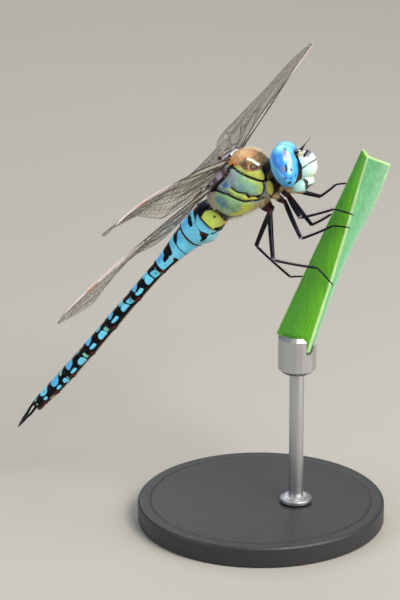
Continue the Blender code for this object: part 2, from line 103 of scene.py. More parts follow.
# The distance from each point to the nearest place on a chain of straight lines.
def chainDistance(points, chain, closed=False):
    starts = np.asarray(chain, float)
    ends = np.roll(starts, -1, axis=0)
    if not closed:
        starts, ends = starts[:-1], ends[:-1]
    nearest = np.full(len(points), np.inf)
    for start, end in zip(starts, ends):
        way = end - start
        share = np.clip((points - start) @ way / (way @ way + 1e-12), 0, 1)
        nearest = np.minimum(nearest, np.linalg.norm(points - start - share[:, None] * way, axis=1))
    return nearest


# 1 inside a closed outline in two dimensions and 0 outside, by counting the edges a ray crosses,
# with a soft rim.
def patchMask(points, outline, soft):
    outline = roundCorners(outline, True)
    inside = np.zeros(len(points), bool)
    for (ax, ay), (bx, by) in zip(outline, np.roll(outline, -1, axis=0)):
        crosses = (ay > points[:, 1]) != (by > points[:, 1])
        inside ^= crosses & (points[:, 0] < (bx - ax) * (points[:, 1] - ay) / (by - ay + 1e-12) + ax)
    distance = chainDistance(points, outline, True) * np.where(inside, -1, 1)
    return 1 - ease(distance, -soft, soft)


# 1 along a line of a given width and 0 away from it.
def lineMask(points, chain, width, soft):
    return 1 - ease(chainDistance(points, roundCorners(chain, False)), width / 2 - soft, width / 2 + soft)


# 1 inside a ball or an ellipse and 0 outside.
def spotMask(points, middle, radii, soft):
    away = np.linalg.norm((points - np.asarray(middle, float)) / radii, axis=1)
    return 1 - ease(away, 1 - soft, 1 + soft)


# Lays a colour over a tint array where the mask says.
def paint(tint, mask, code):
    tint += (linear(code) - tint) * mask[:, None]


# A tint array with a row of one colour for each point.
def plainTint(code, points):
    return np.tile(linear(code), (len(points), 1))


# Smooth pseudo-random noise from -1 to 1: a few sine waves in fixed odd directions.
def ripple(points, size):
    turns = np.array([[1.0, 0.7, -0.4], [-0.6, 1.1, 0.8], [0.3, -0.9, 1.3], [1.2, 0.2, 0.9]])
    phases = points @ turns.T * (2 * np.pi / size)
    return np.sin(phases + np.array([0.3, 1.9, 4.1, 2.6])).mean(axis=1)


# Faces of a closed shell over rings of points: quads between rings, and a fan to a point at each end.
def shellFaces(rings, around):
    row = np.arange(rings - 1)[:, None] * around
    spoke = np.arange(around)
    after = (spoke + 1) % around
    quads = np.stack([row + spoke, row + after, row + around + after, row + around + spoke], -1)
    last = (rings - 1) * around
    low, high = np.full(around, rings * around), np.full(around, rings * around + 1)
    fans = np.vstack([np.stack([low, after, spoke], 1), np.stack([high, last + spoke, last + after], 1)])
    return quads.reshape(-1, 4), fans


# The points of a closed shell: the rings and the middle of each end ring.
def shellPoints(rings):
    return np.vstack([rings.reshape(-1, 3), rings[0].mean(0), rings[-1].mean(0)])


# Joins shells into one list of points, quads and triangles.
def joinShells(shells):
    points, quads, fans, start = [], [], [], 0
    for some, fours, threes in shells:
        points.append(some)
        quads.append(fours + start)
        fans.append(threes + start)
        start += len(some)
    return np.vstack(points), np.vstack(quads), np.vstack(fans)


# Turns the faces round if they point in, where the volume under them, added up from the triple
# products of their corners, is below nothing.
def outward(points, quads, fans):
    a, b, c, d = (points[quads[:, k]] - points.mean(0) for k in range(4))
    volume = np.einsum("ij,ij->", a, np.cross(b, c)) + np.einsum("ij,ij->", a, np.cross(c, d))
    return (points, quads[:, ::-1], fans[:, ::-1]) if volume < 0 else (points, quads, fans)


# A closed shell from its rings, as points, quads and triangles with the faces pointing out.
def shell(rings):
    return outward(shellPoints(rings), *shellFaces(*rings.shape[:2]))


# One finished piece: a mesh in metres, with its colours as the point attribute "tint". finish is a
# material, or the name of one of the chitins.
def makePiece(name, parts, finish, nodes=(), tint=None, crease=None):
    points, quads, fans = parts
    mesh = bpy.data.meshes.new(name)
    mesh.vertices.add(len(points))
    mesh.vertices.foreach_set("co", ((points + bodyAt) * mm).astype(np.float32).ravel())
    mesh.loops.add(quads.size + fans.size)
    mesh.loops.foreach_set("vertex_index", np.concatenate([quads.ravel(), fans.ravel()]).astype(np.int32))
    mesh.polygons.add(len(quads) + len(fans))
    starts = np.concatenate([np.arange(len(quads)) * 4, quads.size + np.arange(len(fans)) * 3])
    mesh.polygons.foreach_set("loop_start", starts.astype(np.int32))
    mesh.update(calc_edges=True)
    mesh.shade_smooth()
    if crease:
        mesh.set_sharp_from_angle(angle=math.radians(crease))
    if tint is not None:
        layer = mesh.color_attributes.new("tint", "FLOAT_COLOR", "POINT")
        layer.data.foreach_set("color", np.hstack([tint, np.ones((len(tint), 1))]).astype(np.float32).ravel())
    mesh.materials.append(chitin.get(finish, finish))
    piece = bpy.data.objects.new(name, mesh)
    bpy.context.collection.objects.link(piece)
    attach(piece, "root")
    if nodes:
        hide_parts(*nodes)
    return piece


# Adds one node, sets it up and links it: inputs holds plain values or other nodes' sockets, and
# target is the socket that its first output goes to.
def addNode(tree, kind, settings=None, inputs=None, target=None):
    node = tree.nodes.new(kind)
    for name, value in (settings or {}).items():
        setattr(node, name, value)
    for name, value in (inputs or {}).items():
        if isinstance(value, bpy.types.NodeSocket):
            tree.links.new(value, node.inputs[name])
        else:
            node.inputs[name].default_value = value
    if target:
        tree.links.new(node.outputs[0], target)
    return node


# A material with its plain values set, its node tree, its shader and the place on the object.
def newMaterial(name, constants):
    made = bpy.data.materials.new(name)
    made.use_nodes = True
    shader = made.node_tree.nodes["Principled BSDF"]
    for socket, value in constants.items():
        shader.inputs[socket].default_value = value
    return made, made.node_tree, shader, addNode(made.node_tree, "ShaderNodeTexCoord").outputs["Object"]


# Gives a surface its grain, a noise whose size is in mm: any shader sockets named in runs go from
# one value to another over it, and the surface is lifted by a height in mm.
def addGrain(tree, shader, place, size, runs, height=0.0, detail=2.0, decay=0.5):
    grain = addNode(tree, "ShaderNodeTexNoise", inputs={"Vector": place, "Scale": 1 / (size * mm),
                    "Detail": detail, "Roughness": decay}).outputs["Fac"]
    for socket, (low, high) in runs.items():
        addNode(tree, "ShaderNodeMapRange", inputs={"Value": grain, "From Min": 0.3, "From Max": 0.7,
                "To Min": low, "To Max": high}, target=shader.inputs[socket])
    if height:
        addNode(tree, "ShaderNodeBump", inputs={"Height": grain, "Strength": 1.0, "Distance": height * mm},
                target=shader.inputs["Normal"])
    return grain


# Colours a surface by the piece's tint, made lighter and darker by a share over the grain.
def addTint(tree, shader, grain, vary):
    tint = addNode(tree, "ShaderNodeAttribute", {"attribute_name": "tint"}).outputs["Color"]
    value = addNode(tree, "ShaderNodeMapRange", inputs={"Value": grain, "From Min": 0.3, "From Max": 0.7,
                    "To Min": 1 - vary, "To Max": 1 + vary}).outputs["Result"]
    addNode(tree, "ShaderNodeHueSaturation", inputs={"Color": tint, "Value": value},
            target=shader.inputs["Base Color"])


# Sclerotised chitin, grown in plates and hardened in air. Its colours come from the piece's tint,
# blotched a little by soft noise; fine pits over a slow swell break up the shine.
def chitinMaterial(name, look):
    made, tree, shader, place = newMaterial(name, look["constants"])
    blotch = addGrain(tree, shader, place, look["blotch"], {"Roughness": look["rough"]}, 0, 4.0, 0.6)
    addTint(tree, shader, blotch, look["vary"])
    pits = addNode(tree, "ShaderNodeTexVoronoi", inputs={"Vector": place,
                   "Scale": 1 / (look["pits"] * mm)}).outputs["Distance"]
    swell = addNode(tree, "ShaderNodeBump", inputs={"Height": blotch, "Strength": 1.0,
                    "Distance": look["swell"] * mm}).outputs["Normal"]
    addNode(tree, "ShaderNodeBump", inputs={"Height": pits, "Strength": 1.0, "Distance": look["depth"] * mm,
            "Normal": swell}, target=shader.inputs["Normal"])
    return made


materialLooks = {
    # Smooth marked plates of the abdomen: satin, the black parts with a blue-violet bloom.
    "chitin_marked_satin": {
        "blotch": 0.9, "vary": 0.1, "pits": 0.1, "depth": 0.006, "swell": 0.03, "rough": (0.24, 0.36),
        "constants": {"IOR": 1.56, "Specular IOR Level": 0.12, "Coat Weight": 0.04, "Coat Roughness": 0.1,
                      "Specular Tint": (0.75, 0.78, 1.0, 1.0)}},
    # Thorax plates: the same cuticle with a finer grain and a softer shine.
    "chitin_thorax_leathery": {
        "blotch": 0.7, "vary": 0.14, "pits": 0.12, "depth": 0.012, "swell": 0.05, "rough": (0.32, 0.48),
        "constants": {"IOR": 1.54, "Specular IOR Level": 0.2, "Coat Weight": 0.06, "Coat Roughness": 0.2}},
    # Face and mouth parts: pale enamel-like cuticle, almost smooth.
    "chitin_face_enamel": {
        "blotch": 0.8, "vary": 0.06, "pits": 0.14, "depth": 0.006, "swell": 0.03, "rough": (0.22, 0.34),
        "constants": {"IOR": 1.55, "Coat Weight": 0.3, "Coat Roughness": 0.15}},
    # Legs, claspers and feelers: hard black cuticle with a blue-grey shine.
    "chitin_black_polished": {
        "blotch": 0.5, "vary": 0.15, "pits": 0.09, "depth": 0.008, "swell": 0.03, "rough": (0.22, 0.34),
        "constants": {"IOR": 1.58, "Specular IOR Level": 0.16, "Coat Weight": 0.05, "Coat Roughness": 0.12,
                      "Specular Tint": (0.7, 0.7, 1.0, 1.0)}},
    # Compound eye: a clear cornea over blue pigment. The facets are 0.03 mm on the real eye, and
    # are drawn at 0.08 mm so that they show.
    "cornea_faceted_glossy": {
        "blotch": 1.2, "vary": 0.05, "pits": 0.08, "depth": 0.003, "swell": 0.01, "rough": (0.26, 0.34),
        "constants": {"IOR": 1.5, "Coat Weight": 0.3, "Coat Roughness": 0.26, "Coat IOR": 1.45}},
    # Wing veins: hollow brown tubes, half dull.
    "vein_chitin_brown": {
        "blotch": 1.5, "vary": 0.15, "pits": 0.2, "depth": 0.003, "swell": 0.01, "rough": (0.35, 0.5),
        "constants": {"IOR": 1.56}},
}
chitin = {name: chitinMaterial(name, look) for name, look in materialLooks.items()}
print("materials made:", ", ".join(chitin))


thoraxShape = {
    "centre": (6.1, 0, 17.6), "pitch": 38,
    "along": (-5.15, -4.5, -3.2, -1.6, 0.2, 2, 3.4, 4.3, 4.85),
    "up": (0.45, 1.65, 2.75, 3.55, 4.1, 3.85, 3.3, 2.45, 1.25),
    "down": (2.55, 2.95, 3.5, 3.8, 3.95, 3.95, 3.3, 2.3, 1.1),
    "side": (1.75, 2.55, 3.1, 3.45, 3.55, 3.4, 2.95, 2.25, 1.2),
    "backSquare": ((1, 4), (2.9, 2.1)), "bellySquare": 2.2,
    "around": 320, "rows": 176, "over": 0.12,      # the shell runs this much past its end stations
    "heights": {"seams": -0.16, "keel": 0.06, "crest": 0.22, "raised": 0.18, "sternum": -0.12},
}


# Rings across a body whose axis lies in the upright plane. Each is a superellipse: across is
# cosine to the power 2/square times the half width, height is sine to the power 2/square times
# the half height above or below.
def sectionRings(centres, pitches, up, down, side, around, squareUp=2.0, squareDown=2.0):
    angle = np.arange(around) * 2 * np.pi / around
    cos, sin = np.cos(angle), np.sin(angle)
    square = np.where(sin > 0, 2 / np.atleast_1d(squareUp)[:, None], 2 / np.atleast_1d(squareDown)[:, None])
    across = np.sign(cos) * np.abs(cos) ** square * side[:, None]
    height = np.sign(sin) * np.abs(sin) ** square * np.where(sin > 0, up[:, None], down[:, None])
    pitch = np.radians(pitches)[:, None]
    return np.stack([centres[:, 0, None] - np.sin(pitch) * height, centres[:, 1, None] + across,
                     centres[:, 2, None] + np.cos(pitch) * height], axis=-1)


# The thorax's rings at places along its axis; shrink draws a ring in towards the axis.
def thoraxRings(along, around, shrink=1.0):
    shape = thoraxShape
    turn = math.radians(shape["pitch"])
    centres = np.array(shape["centre"]) + np.outer(along, (math.cos(turn), 0.0, math.sin(turn)))
    sizes = [curveThrough(along, shape["along"], shape[key]) * shrink for key in ("up", "down", "side")]
    return sectionRings(centres, np.full(len(along), shape["pitch"]), *sizes, around,
                        np.interp(along, *shape["backSquare"]), np.full(len(along), shape["bellySquare"]))


# The body's zero point in the world, from the thorax's box in the frame.
thoraxBox = np.array([np.array(corner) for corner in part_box("thorax")]) / mm
ownRings = thoraxRings(np.linspace(-5.15, 4.85, 13), 24).reshape(-1, 3)
bodyAt = np.round(thoraxBox.mean(0) - (ownRings.min(0) + ownRings.max(0)) / 2, 1)
print("the body's zero point, in mm:", bodyAt)


studio = {
    "azimuth": 21, "elevation": 20, "distance": 500, "frameHeight": 81.8,   # the view
    "sensor": 36, "clip": (0.02, 20), "stripHeight": 2.2, "floorHalf": 3, "cloud": 14,
    "world": "#dfe4ea", "worldStrength": 0.36, "floor": "#a8a59e",
    # light: place from the body in camera terms (right, up, towards the camera), size, watts, colour
    "key": ((230, 250, 360), 260, 2.95, "#fff9f0"),
    "fill": ((-380, 120, 260), 300, 0.65, "#e6f0ff"),
    "strip": ((330, 60, 160), 120, 0.55, "#ffffff"),
    "top": ((-60, 420, -160), 300, 0.8, "#ffffff"),
}


# The camera looks at the body's zero point; its focal length is the sensor's height times the
# distance over the height that the frame covers there.
def makeStudio():
    azimuth, elevation = math.radians(studio["azimuth"]), math.radians(studio["elevation"])
    back = np.array([math.sin(azimuth) * math.cos(elevation), -math.cos(azimuth) * math.cos(elevation),
                     math.sin(elevation)])
    right = np.array([math.cos(azimuth), math.sin(azimuth), 0.0])
    up = np.cross(back, right)

    def lookAlong(thing, away, distance):
        # the turn's columns are the thing's right, its up, and the way back from its target
        side = unit(np.cross((0, 0, 1), away))
        turn = np.stack([side, np.cross(away, side), away], axis=1)
        place = np.eye(4)
        place[:3, :3] = turn
        place[:3, 3] = (bodyAt + away * distance) * mm
        thing.matrix_world = Matrix(place.tolist())

    camera = bpy.data.cameras.new("camera")
    camera.sensor_fit = "VERTICAL"
    camera.sensor_height = camera.sensor_width = studio["sensor"]
    camera.lens = camera.sensor_height * studio["distance"] / studio["frameHeight"]
    camera.clip_start, camera.clip_end = studio["clip"]
    holder = bpy.data.objects.new("camera", camera)
    bpy.context.collection.objects.link(holder)
    bpy.context.scene.camera = holder
    bpy.context.view_layer.update()
    lookAlong(holder, unit(back), studio["distance"])
    for name in ("key", "fill", "strip", "top"):
        (x, y, z), size, watts, colour = studio[name]
        lamp = bpy.data.lights.new(name, "AREA")
        lamp.shape = "RECTANGLE"
        lamp.size = size * mm
        lamp.size_y = size * mm * (studio["stripHeight"] if name == "strip" else 1.0)
        lamp.energy = watts
        lamp.color = linear(colour)
        holder = bpy.data.objects.new(name, lamp)
        bpy.context.collection.objects.link(holder)
        away = right * x + up * y + back * z
        lookAlong(holder, unit(away), float(np.linalg.norm(away)))
    world = bpy.data.worlds.new("soft_room")
    world.use_nodes = True
    bpy.context.scene.world = world
    shade = world.node_tree.nodes["Background"]
    shade.inputs["Color"].default_value = (*linear(studio["world"]), 1)
    shade.inputs["Strength"].default_value = studio["worldStrength"]
    bpy.context.scene.view_settings.view_transform = "Standard"
    half = studio["floorHalf"]
    mesh = bpy.data.meshes.new("floor")
    mesh.from_pydata([(-half, -half, 0), (half, -half, 0), (half, half, 0), (-half, half, 0)], [],
                     [(0, 1, 2, 3)])
    # Matt paper sweep: nearly flat colour with a faint cloud so that it isn't dead even.
    paper, tree, shader, place = newMaterial("paper_matt_sweep", {"Roughness": 0.9, "IOR": 1.45})
    cloud = addNode(tree, "ShaderNodeTexNoise", inputs={
        "Vector": place, "Scale": studio["cloud"]}).outputs["Fac"]
    shades = addNode(tree, "ShaderNodeMix", {"data_type": "RGBA"}, {0: cloud,
                     6: (*linear(studio["floor"]), 1), 7: (*linear(studio["floor"]) * 1.06, 1)})
    tree.links.new(shades.outputs[2], shader.inputs["Base Color"])
    mesh.materials.append(paper)
    floor = bpy.data.objects.new("floor", mesh)
    bpy.context.collection.objects.link(floor)


makeStudio()
print("camera, lights and floor made")


abdomenShape = {
    "start": (3, 0, 13.7),
    "lengths": (2.3, 3.9, 7, 5.9, 5.9, 5.3, 4.8, 3.6, 2.6, 1.3),
    "pitch": (46, 46.5, 49.5, 51, 52, 52, 51, 50, 47, 45),
    # half sizes above, below and beside the axis at the eleven joints
    "up": (1.95, 2.32, 2, 1.05, 0.92, 0.94, 0.95, 0.97, 0.93, 0.8, 0.66),
    "down": (1.9, 2.2, 1.85, 0.95, 0.9, 0.92, 0.94, 0.96, 0.92, 0.8, 0.62),
    "side": (2, 2.25, 1.8, 1.05, 1.15, 1.22, 1.25, 1.28, 1.22, 1.08, 0.9),
    "bulge": 0.55,           # extra depth under segment 2
    "widening": 0.03,        # each segment grows this much towards its rear
    "tuck": 0.35,            # how far its front runs under the segment before
    "lip": 0.1,              # how far its rear edge runs over the segment after
    # ridges and grooves as height, place and half width: along it, at degrees from the middle of the
    # back; round it, at mm from the rear edge; and across it, at a share of its length
    "backKeel": (0.045, 0, 6), "keels": ((0.05, 126, 5), (-0.09, 141, 6), (0.03, 180, 14)),
    "rims": ((0.05, -0.1, 0.09), (-0.03, -0.32, 0.1)), "crossRidge": (0.035, 0.22, 0.07),
    "grid": 0.055, "around": 144,
}
abdomenColours = {
    "black": "#070409", "paintedSheen": "#2a2540", "blue": "#5cc0f6", "sky": "#7adcff", "teal": "#6acfe8",
    "green": "#84d2ba", "lime": "#c8dc6a", "orange": "#e3b355", "mint": "#8fcfd8", "pale": "#bfe2e4",
    "rust": "#6a2418", "brown": "#4a2c22", "tan": "#c9a876", "slate": "#27567e", "yellow": "#dbe386",
}
# Each segment's marks, in order: kind, colour, size, then points. A point is its share of the
# segment from front to rear, and its angle round from the middle of the back, both sides alike.
# The size is a patch's soft rim, a line's width or a spot's radius, in mm.
abdomenMarks = {
    1: ("lime", [
        ("patch", "orange", 0.45, ((0.1, 158), (0.9, 150), (1.2, 190), (-0.2, 190))),
        ("patch", "black", 0.05, ((-0.4, -20), (1.4, -20), (1.4, 66), (0.9, 72), (0.5, 62), (0.12, 74),
            (0.02, 100), (0.06, 125), (0.22, 150), (0.25, 190), (-0.4, 190))),
        ("patch", "black", 0.05, ((0.35, 190), (0.5, 164), (0.76, 142), (0.96, 128), (1.3, 124),
            (1.3, 190))),
        # a painted sheen: a soft grey-violet reflection on the black of the back
        ("patch", "paintedSheen", 0.3, ((0.1, 8), (0.7, 8), (0.6, 42), (0.15, 48))),
        ("patch", "black", 0.05, ((0.9, 40), (0.9, 100), (0.93, 150), (1.3, 150), (1.3, 40))),
        # the small pale spot beside the black one is a painted glint
        ("spot", "black", 0.17, (0.28, 102)), ("spot", "pale", 0.07, (0.34, 108))]),
    2: ("sky", [
        ("patch", "blue", 0.6, ((0.3, -20), (0.95, -20), (0.95, 60), (0.3, 50))),
        ("patch", "yellow", 0.18, ((-0.1, 118), (0.06, 122), (0.1, 140), (0, 160), (-0.1, 160))),
        ("patch", "mint", 0.25, ((0.15, 142), (0.5, 136), (0.9, 140), (0.95, 200), (0.1, 200))),
        ("patch", "black", 0.05, ((-0.3, -20), (-0.3, 50), (0.03, 48), (0.14, 58), (0.27, 74), (0.21, 54),
            (0.2, 34), (0.26, -20))),
        ("patch", "black", 0.05, ((0.34, -20), (0.38, 22), (0.33, 42), (0.4, 66), (0.46, 72), (0.55, 70),
            (0.57, 52), (0.52, 40), (0.53, 22), (0.57, -20))),
        ("line", "slate", 0.09, ((0.31, 66), (0.32, 85), (0.35, 104))),
        ("line", "black", 0.13, ((0.34, 94), (0.37, 103), (0.33, 116))),
        ("patch", "brown", 0.04, ((0.42, 103), (0.33, 106), (0.25, 128), (0.29, 135), (0.42, 127),
            (0.52, 112))),
        ("line", "black", 0.16, ((0.35, 104), (0.29, 118), (0.24, 132))),
        ("patch", "black", 0.04, ((0.36, 118), (0.46, 112), (0.58, 122), (0.72, 129), (0.7, 135),
            (0.56, 133), (0.42, 134), (0.33, 130))),
        ("line", "black", 0.22, ((0, 174), (0.1, 158), (0.21, 141))),
        ("line", "tan", 0.26, ((0.42, 168), (0.56, 172))),
        ("line", "pale", 0.07, ((0.935, 112), (0.93, 140), (0.92, 165))),
        ("line", "black", 0.12, ((-0.01, 30), (-0.01, 100), (0, 150))),
        ("patch", "black", 0.05, ((0.925, -20), (0.93, 130), (0.96, 200), (1.3, 200), (1.3, -20))),
        ("spot", "blue", 0.12, (0.62, 66)), ("spot", "blue", 0.09, (0.12, 92))]),
    3: ("sky", [
        ("patch", "blue", 0.5, ((0.05, -20), (0.3, -20), (0.25, 84), (0.05, 70))),
        ("patch", "teal", 0.3, ((0.27, -20), (0.43, -20), (0.44, 70), (0.3, 75))),
        ("patch", "blue", 0.4, ((0.66, -20), (0.9, -20), (0.9, 70), (0.7, 66))),
        ("line", "pale", 0.12, ((0.015, 20), (0.02, 90), (0.015, 170))),
        ("patch", "black", 0.05, ((-0.2, -20), (-0.1, 34), (0.03, 34), (0.08, 32), (0.12, 42), (0.17, 58),
            (0.24, 74), (0.285, 76), (0.28, 50), (0.26, 30), (0.25, -20))),
        ("line", "black", 0.17, ((0.265, 66), (0.28, 85), (0.29, 112), (0.34, 176))),
        ("patch", "black", 0.05, ((0.4, -20), (0.41, 36), (0.425, 62), (0.46, 86), (0.52, 94), (0.57, 86),
            (0.62, 92), (0.72, 94), (0.775, 88), (0.72, 66), (0.65, 52), (0.635, -20))),
        ("patch", "pale", 0.2, ((0.53, 98), (0.58, 96), (0.6, 124), (0.54, 124))),
        ("patch", "black", 0.05, ((0.51, 118), (0.555, 112), (0.6, 126), (0.66, 140), (0.62, 165),
            (0.55, 160), (0.52, 142))),
        ("patch", "black", 0.05, ((0.6, 134), (0.86, 133), (0.95, 118), (0.97, 200), (0.6, 200))),
        ("spot", "slate", 0.13, (0.74, 40)), ("spot", "slate", 0.08, (0.82, 53)),
        ("spot", "slate", 0.07, (0.8, 108)), ("spot", "blue", 0.09, (0.14, 78)),
        ("patch", "black", 0.05, ((0.905, -20), (0.915, 120), (0.93, 200), (1.3, 200), (1.3, -20))),
        ("patch", "rust", 0.12, ((0.93, 118), (0.93, 150), (0.975, 150), (0.975, 118)))]),
    4: ("black", [
        ("line", "pale", 0.11, ((0.012, 60), (0.02, 100), (0.012, 150))),
        ("patch", "teal", 0.06, ((0.035, 72), (0.03, 110), (0.03, 146), (0.12, 130), (0.2, 122), (0.2, 90),
            (0.2, 58), (0.12, 64))),
        ("spot", "slate", 0.12, (0.09, 96)),
        ("patch", "teal", 0.05, ((0.32, 4), (0.26, 30), (0.27, 50), (0.36, 55), (0.46, 50), (0.45, 4))),
        ("patch", "sky", 0.06, ((0.27, 50), (0.24, 90), (0.23, 123), (0.45, 122), (0.455, 96), (0.42, 62),
            (0.36, 48))),
        ("patch", "blue", 0.06, ((0.67, 4), (0.68, 40), (0.71, 58), (0.815, 76), (0.86, 54), (0.88, 4))),
        ("patch", "sky", 0.06, ((0.63, 84), (0.6, 112), (0.72, 122), (0.83, 114), (0.86, 97), (0.83, 80),
            (0.77, 86), (0.75, 94), (0.74, 86)))]),
    5: ("black", [
        ("line", "pale", 0.1, ((0.012, 64), (0.02, 100), (0.012, 140))),
        ("patch", "teal", 0.06, ((0.03, 72), (0.03, 120), (0.1, 120), (0.16, 98), (0.18, 64), (0.1, 66))),
        ("line", "slate", 0.12, ((0.04, 84), (0.09, 96))),
        ("patch", "teal", 0.05, ((0.29, 4), (0.25, 30), (0.26, 52), (0.34, 58), (0.42, 50), (0.42, 4))),
        ("patch", "sky", 0.06, ((0.25, 58), (0.2, 90), (0.16, 114), (0.41, 115), (0.42, 90), (0.375, 63))),
        ("patch", "blue", 0.06, ((0.66, 3), (0.66, 36), (0.67, 52), (0.81, 70), (0.845, 45), (0.855, 3))),
        ("patch", "sky", 0.06, ((0.61, 84), (0.59, 110), (0.7, 114), (0.8, 108), (0.84, 88), (0.74, 84)))]),
    6: ("black", [
        ("line", "pale", 0.08, ((0.012, 70), (0.02, 100), (0.012, 130))),
        ("patch", "green", 0.06, ((0.03, 74), (0.03, 116), (0.1, 116), (0.13, 92), (0.12, 70))),
        ("patch", "teal", 0.05, ((0.24, 4), (0.19, 28), (0.22, 46), (0.32, 48), (0.4, 36), (0.38, 4))),
        ("patch", "sky", 0.06, ((0.19, 68), (0.14, 96), (0.12, 124), (0.41, 123), (0.42, 98), (0.36, 70))),
        ("patch", "blue", 0.06, ((0.62, 3), (0.62, 36), (0.64, 57), (0.81, 73), (0.85, 45), (0.86, 3))),
        ("patch", "sky", 0.06, ((0.61, 90), (0.6, 115), (0.72, 118), (0.81, 111), (0.84, 92),
            (0.72, 86)))]),
    7: ("black", [
        ("patch", "green", 0.06, ((0.03, 78), (0.03, 136), (0.1, 136), (0.14, 106), (0.11, 76))),
        ("patch", "teal", 0.05, ((0.17, 20), (0.19, 34), (0.3, 44), (0.27, 24))),
        ("patch", "sky", 0.06, ((0.22, 84), (0.16, 116), (0.2, 147), (0.45, 144), (0.46, 106), (0.37, 84))),
        ("patch", "blue", 0.06, ((0.54, 6), (0.55, 46), (0.58, 70), (0.81, 86), (0.86, 50), (0.86, 4))),
        ("patch", "sky", 0.06, ((0.61, 104), (0.61, 127), (0.72, 130), (0.83, 123), (0.84, 105),
            (0.72, 100)))]),
    8: ("black", [
        ("patch", "green", 0.06, ((-0.02, 96), (-0.02, 140), (0.06, 138), (0.08, 110))),
        ("patch", "green", 0.05, ((0.1, 3), (0.09, 36), (0.14, 58), (0.26, 60), (0.29, 34), (0.27, 3))),
        ("patch", "sky", 0.06, ((0.12, 98), (0.1, 124), (0.14, 150), (0.3, 150), (0.34, 124), (0.28, 98))),
        ("patch", "blue", 0.06, ((0.36, 6), (0.36, 44), (0.4, 74), (0.56, 93), (0.76, 87), (0.84, 46),
            (0.85, 5))),
        ("patch", "sky", 0.06, ((0.52, 106), (0.5, 124), (0.62, 137), (0.74, 132), (0.76, 112),
            (0.66, 104)))]),
    9: ("black", [
        ("patch", "sky", 0.06, ((0.16, 3), (0.14, 44), (0.24, 74), (0.56, 78), (0.76, 52), (0.77, 3))),
        ("spot", "slate", 0.12, (0.42, 48)),
        ("patch", "sky", 0.06, ((0.44, 92), (0.42, 108), (0.56, 121), (0.7, 116), (0.71, 96), (0.58, 90))),
        ("patch", "tan", 0.12, ((0.15, 140), (0.5, 134), (0.5, 170), (0.15, 170)))]),
    10: ("black", [
        ("spot", "green", 0.22, (0.45, 40)), ("spot", "green", 0.14, (0.5, 92))]),
}
segmentEnds = np.concatenate([[0.0], np.cumsum(abdomenShape["lengths"])])


# The abdomen's axis at a distance from the thorax, and its pitch: steps back and down by the
# cosine and sine of the pitch, added up.
def abdomenAxis(at):
    fine = np.linspace(0, segmentEnds[-1], 200)
    middles = (segmentEnds[1:] + segmentEnds[:-1]) / 2
    pitch = np.interp(fine, middles, abdomenShape["pitch"])
    turn = np.radians(pitch)
    step = fine[1] - fine[0]
    x = abdomenShape["start"][0] - np.concatenate([[0.0], np.cumsum(np.cos(turn[:-1]) * step)])
    z = abdomenShape["start"][2] - np.concatenate([[0.0], np.cumsum(np.sin(turn[:-1]) * step)])
    beyond = np.clip(at, 0, segmentEnds[-1])
    centre = np.stack([np.interp(beyond, fine, x), np.zeros_like(at), np.interp(beyond, fine, z)], axis=1)
    pitchAt = np.interp(beyond, fine, pitch)
    extra = at - beyond
    centre[:, 0] -= np.cos(np.radians(pitchAt)) * extra
    centre[:, 2] -= np.sin(np.radians(pitchAt)) * extra
    return centre, pitchAt


# One segment: a superellipse carried along the axis. Its front narrows and tucks in under the
# segment before, its rear edge is a raised lip, a keel runs down its back and one along each
# side, a fine cross ridge follows the front third, and the belly plate lies between two grooves.
def segmentRings(number):
    shape = abdomenShape
    first, last = segmentEnds[number - 1], segmentEnds[number]
    length = last - first
    lip = shape["lip"]
    count = int((length + shape["tuck"] + lip) / shape["grid"]) + 1
    at = np.linspace(first - (0.0 if number == 1 else shape["tuck"]), last + lip, count)
    centre, pitch = abdomenAxis(at)
    inside = np.clip(at, 0, segmentEnds[-1])
    share = (at - first) / length
    factor = 1 + shape["widening"] * (2 * np.clip(share, 0, 1) - 1)
    if number > 1:
        factor -= 0.11 * (1 - ease(at - first, -0.15, 0.18))
    end = np.clip((at - (last - 0.02)) / (lip + 0.02), 0, 1)
    factor *= np.sqrt(1 - 0.45 * end**2)
    if number == 10:
        factor *= 1 - 0.1 * ease(share, 0.6, 1)
    up, down, side = (curveThrough(inside, segmentEnds, shape[key]) * factor
                      for key in ("up", "down", "side"))
    if number == 2:
        down = down + shape["bulge"] * np.sin(np.pi * np.clip(share, 0, 1)) ** 2
    rings = sectionRings(centre, pitch, up, down, side, shape["around"])
    angle = np.arange(shape["around"]) * 360 / shape["around"]
    turn = np.abs((angle - 90 + 180) % 360 - 180)[None, :]      # from the middle of the back
    out = unit(rings - centre[:, None, :])
    held = share[:, None]
    height, place, half = shape["backKeel"]
    relief = height * bell(turn, place, half) * ease(held, 0.0, 0.1)
    for height, place, half in shape["keels"]:
        relief = relief + height * bell(turn, place, half)
    for height, place, half in shape["rims"]:
        relief = relief + height * bell((at - last)[:, None], place, half)
    if 3 <= number <= 8:
        height, place, half = shape["crossRidge"]
        relief = relief + height * bell(held * length, place * length, half) * (turn < 126)
    return rings + out * relief[..., None], share, turn[0], (up + down + side).mean() / 3


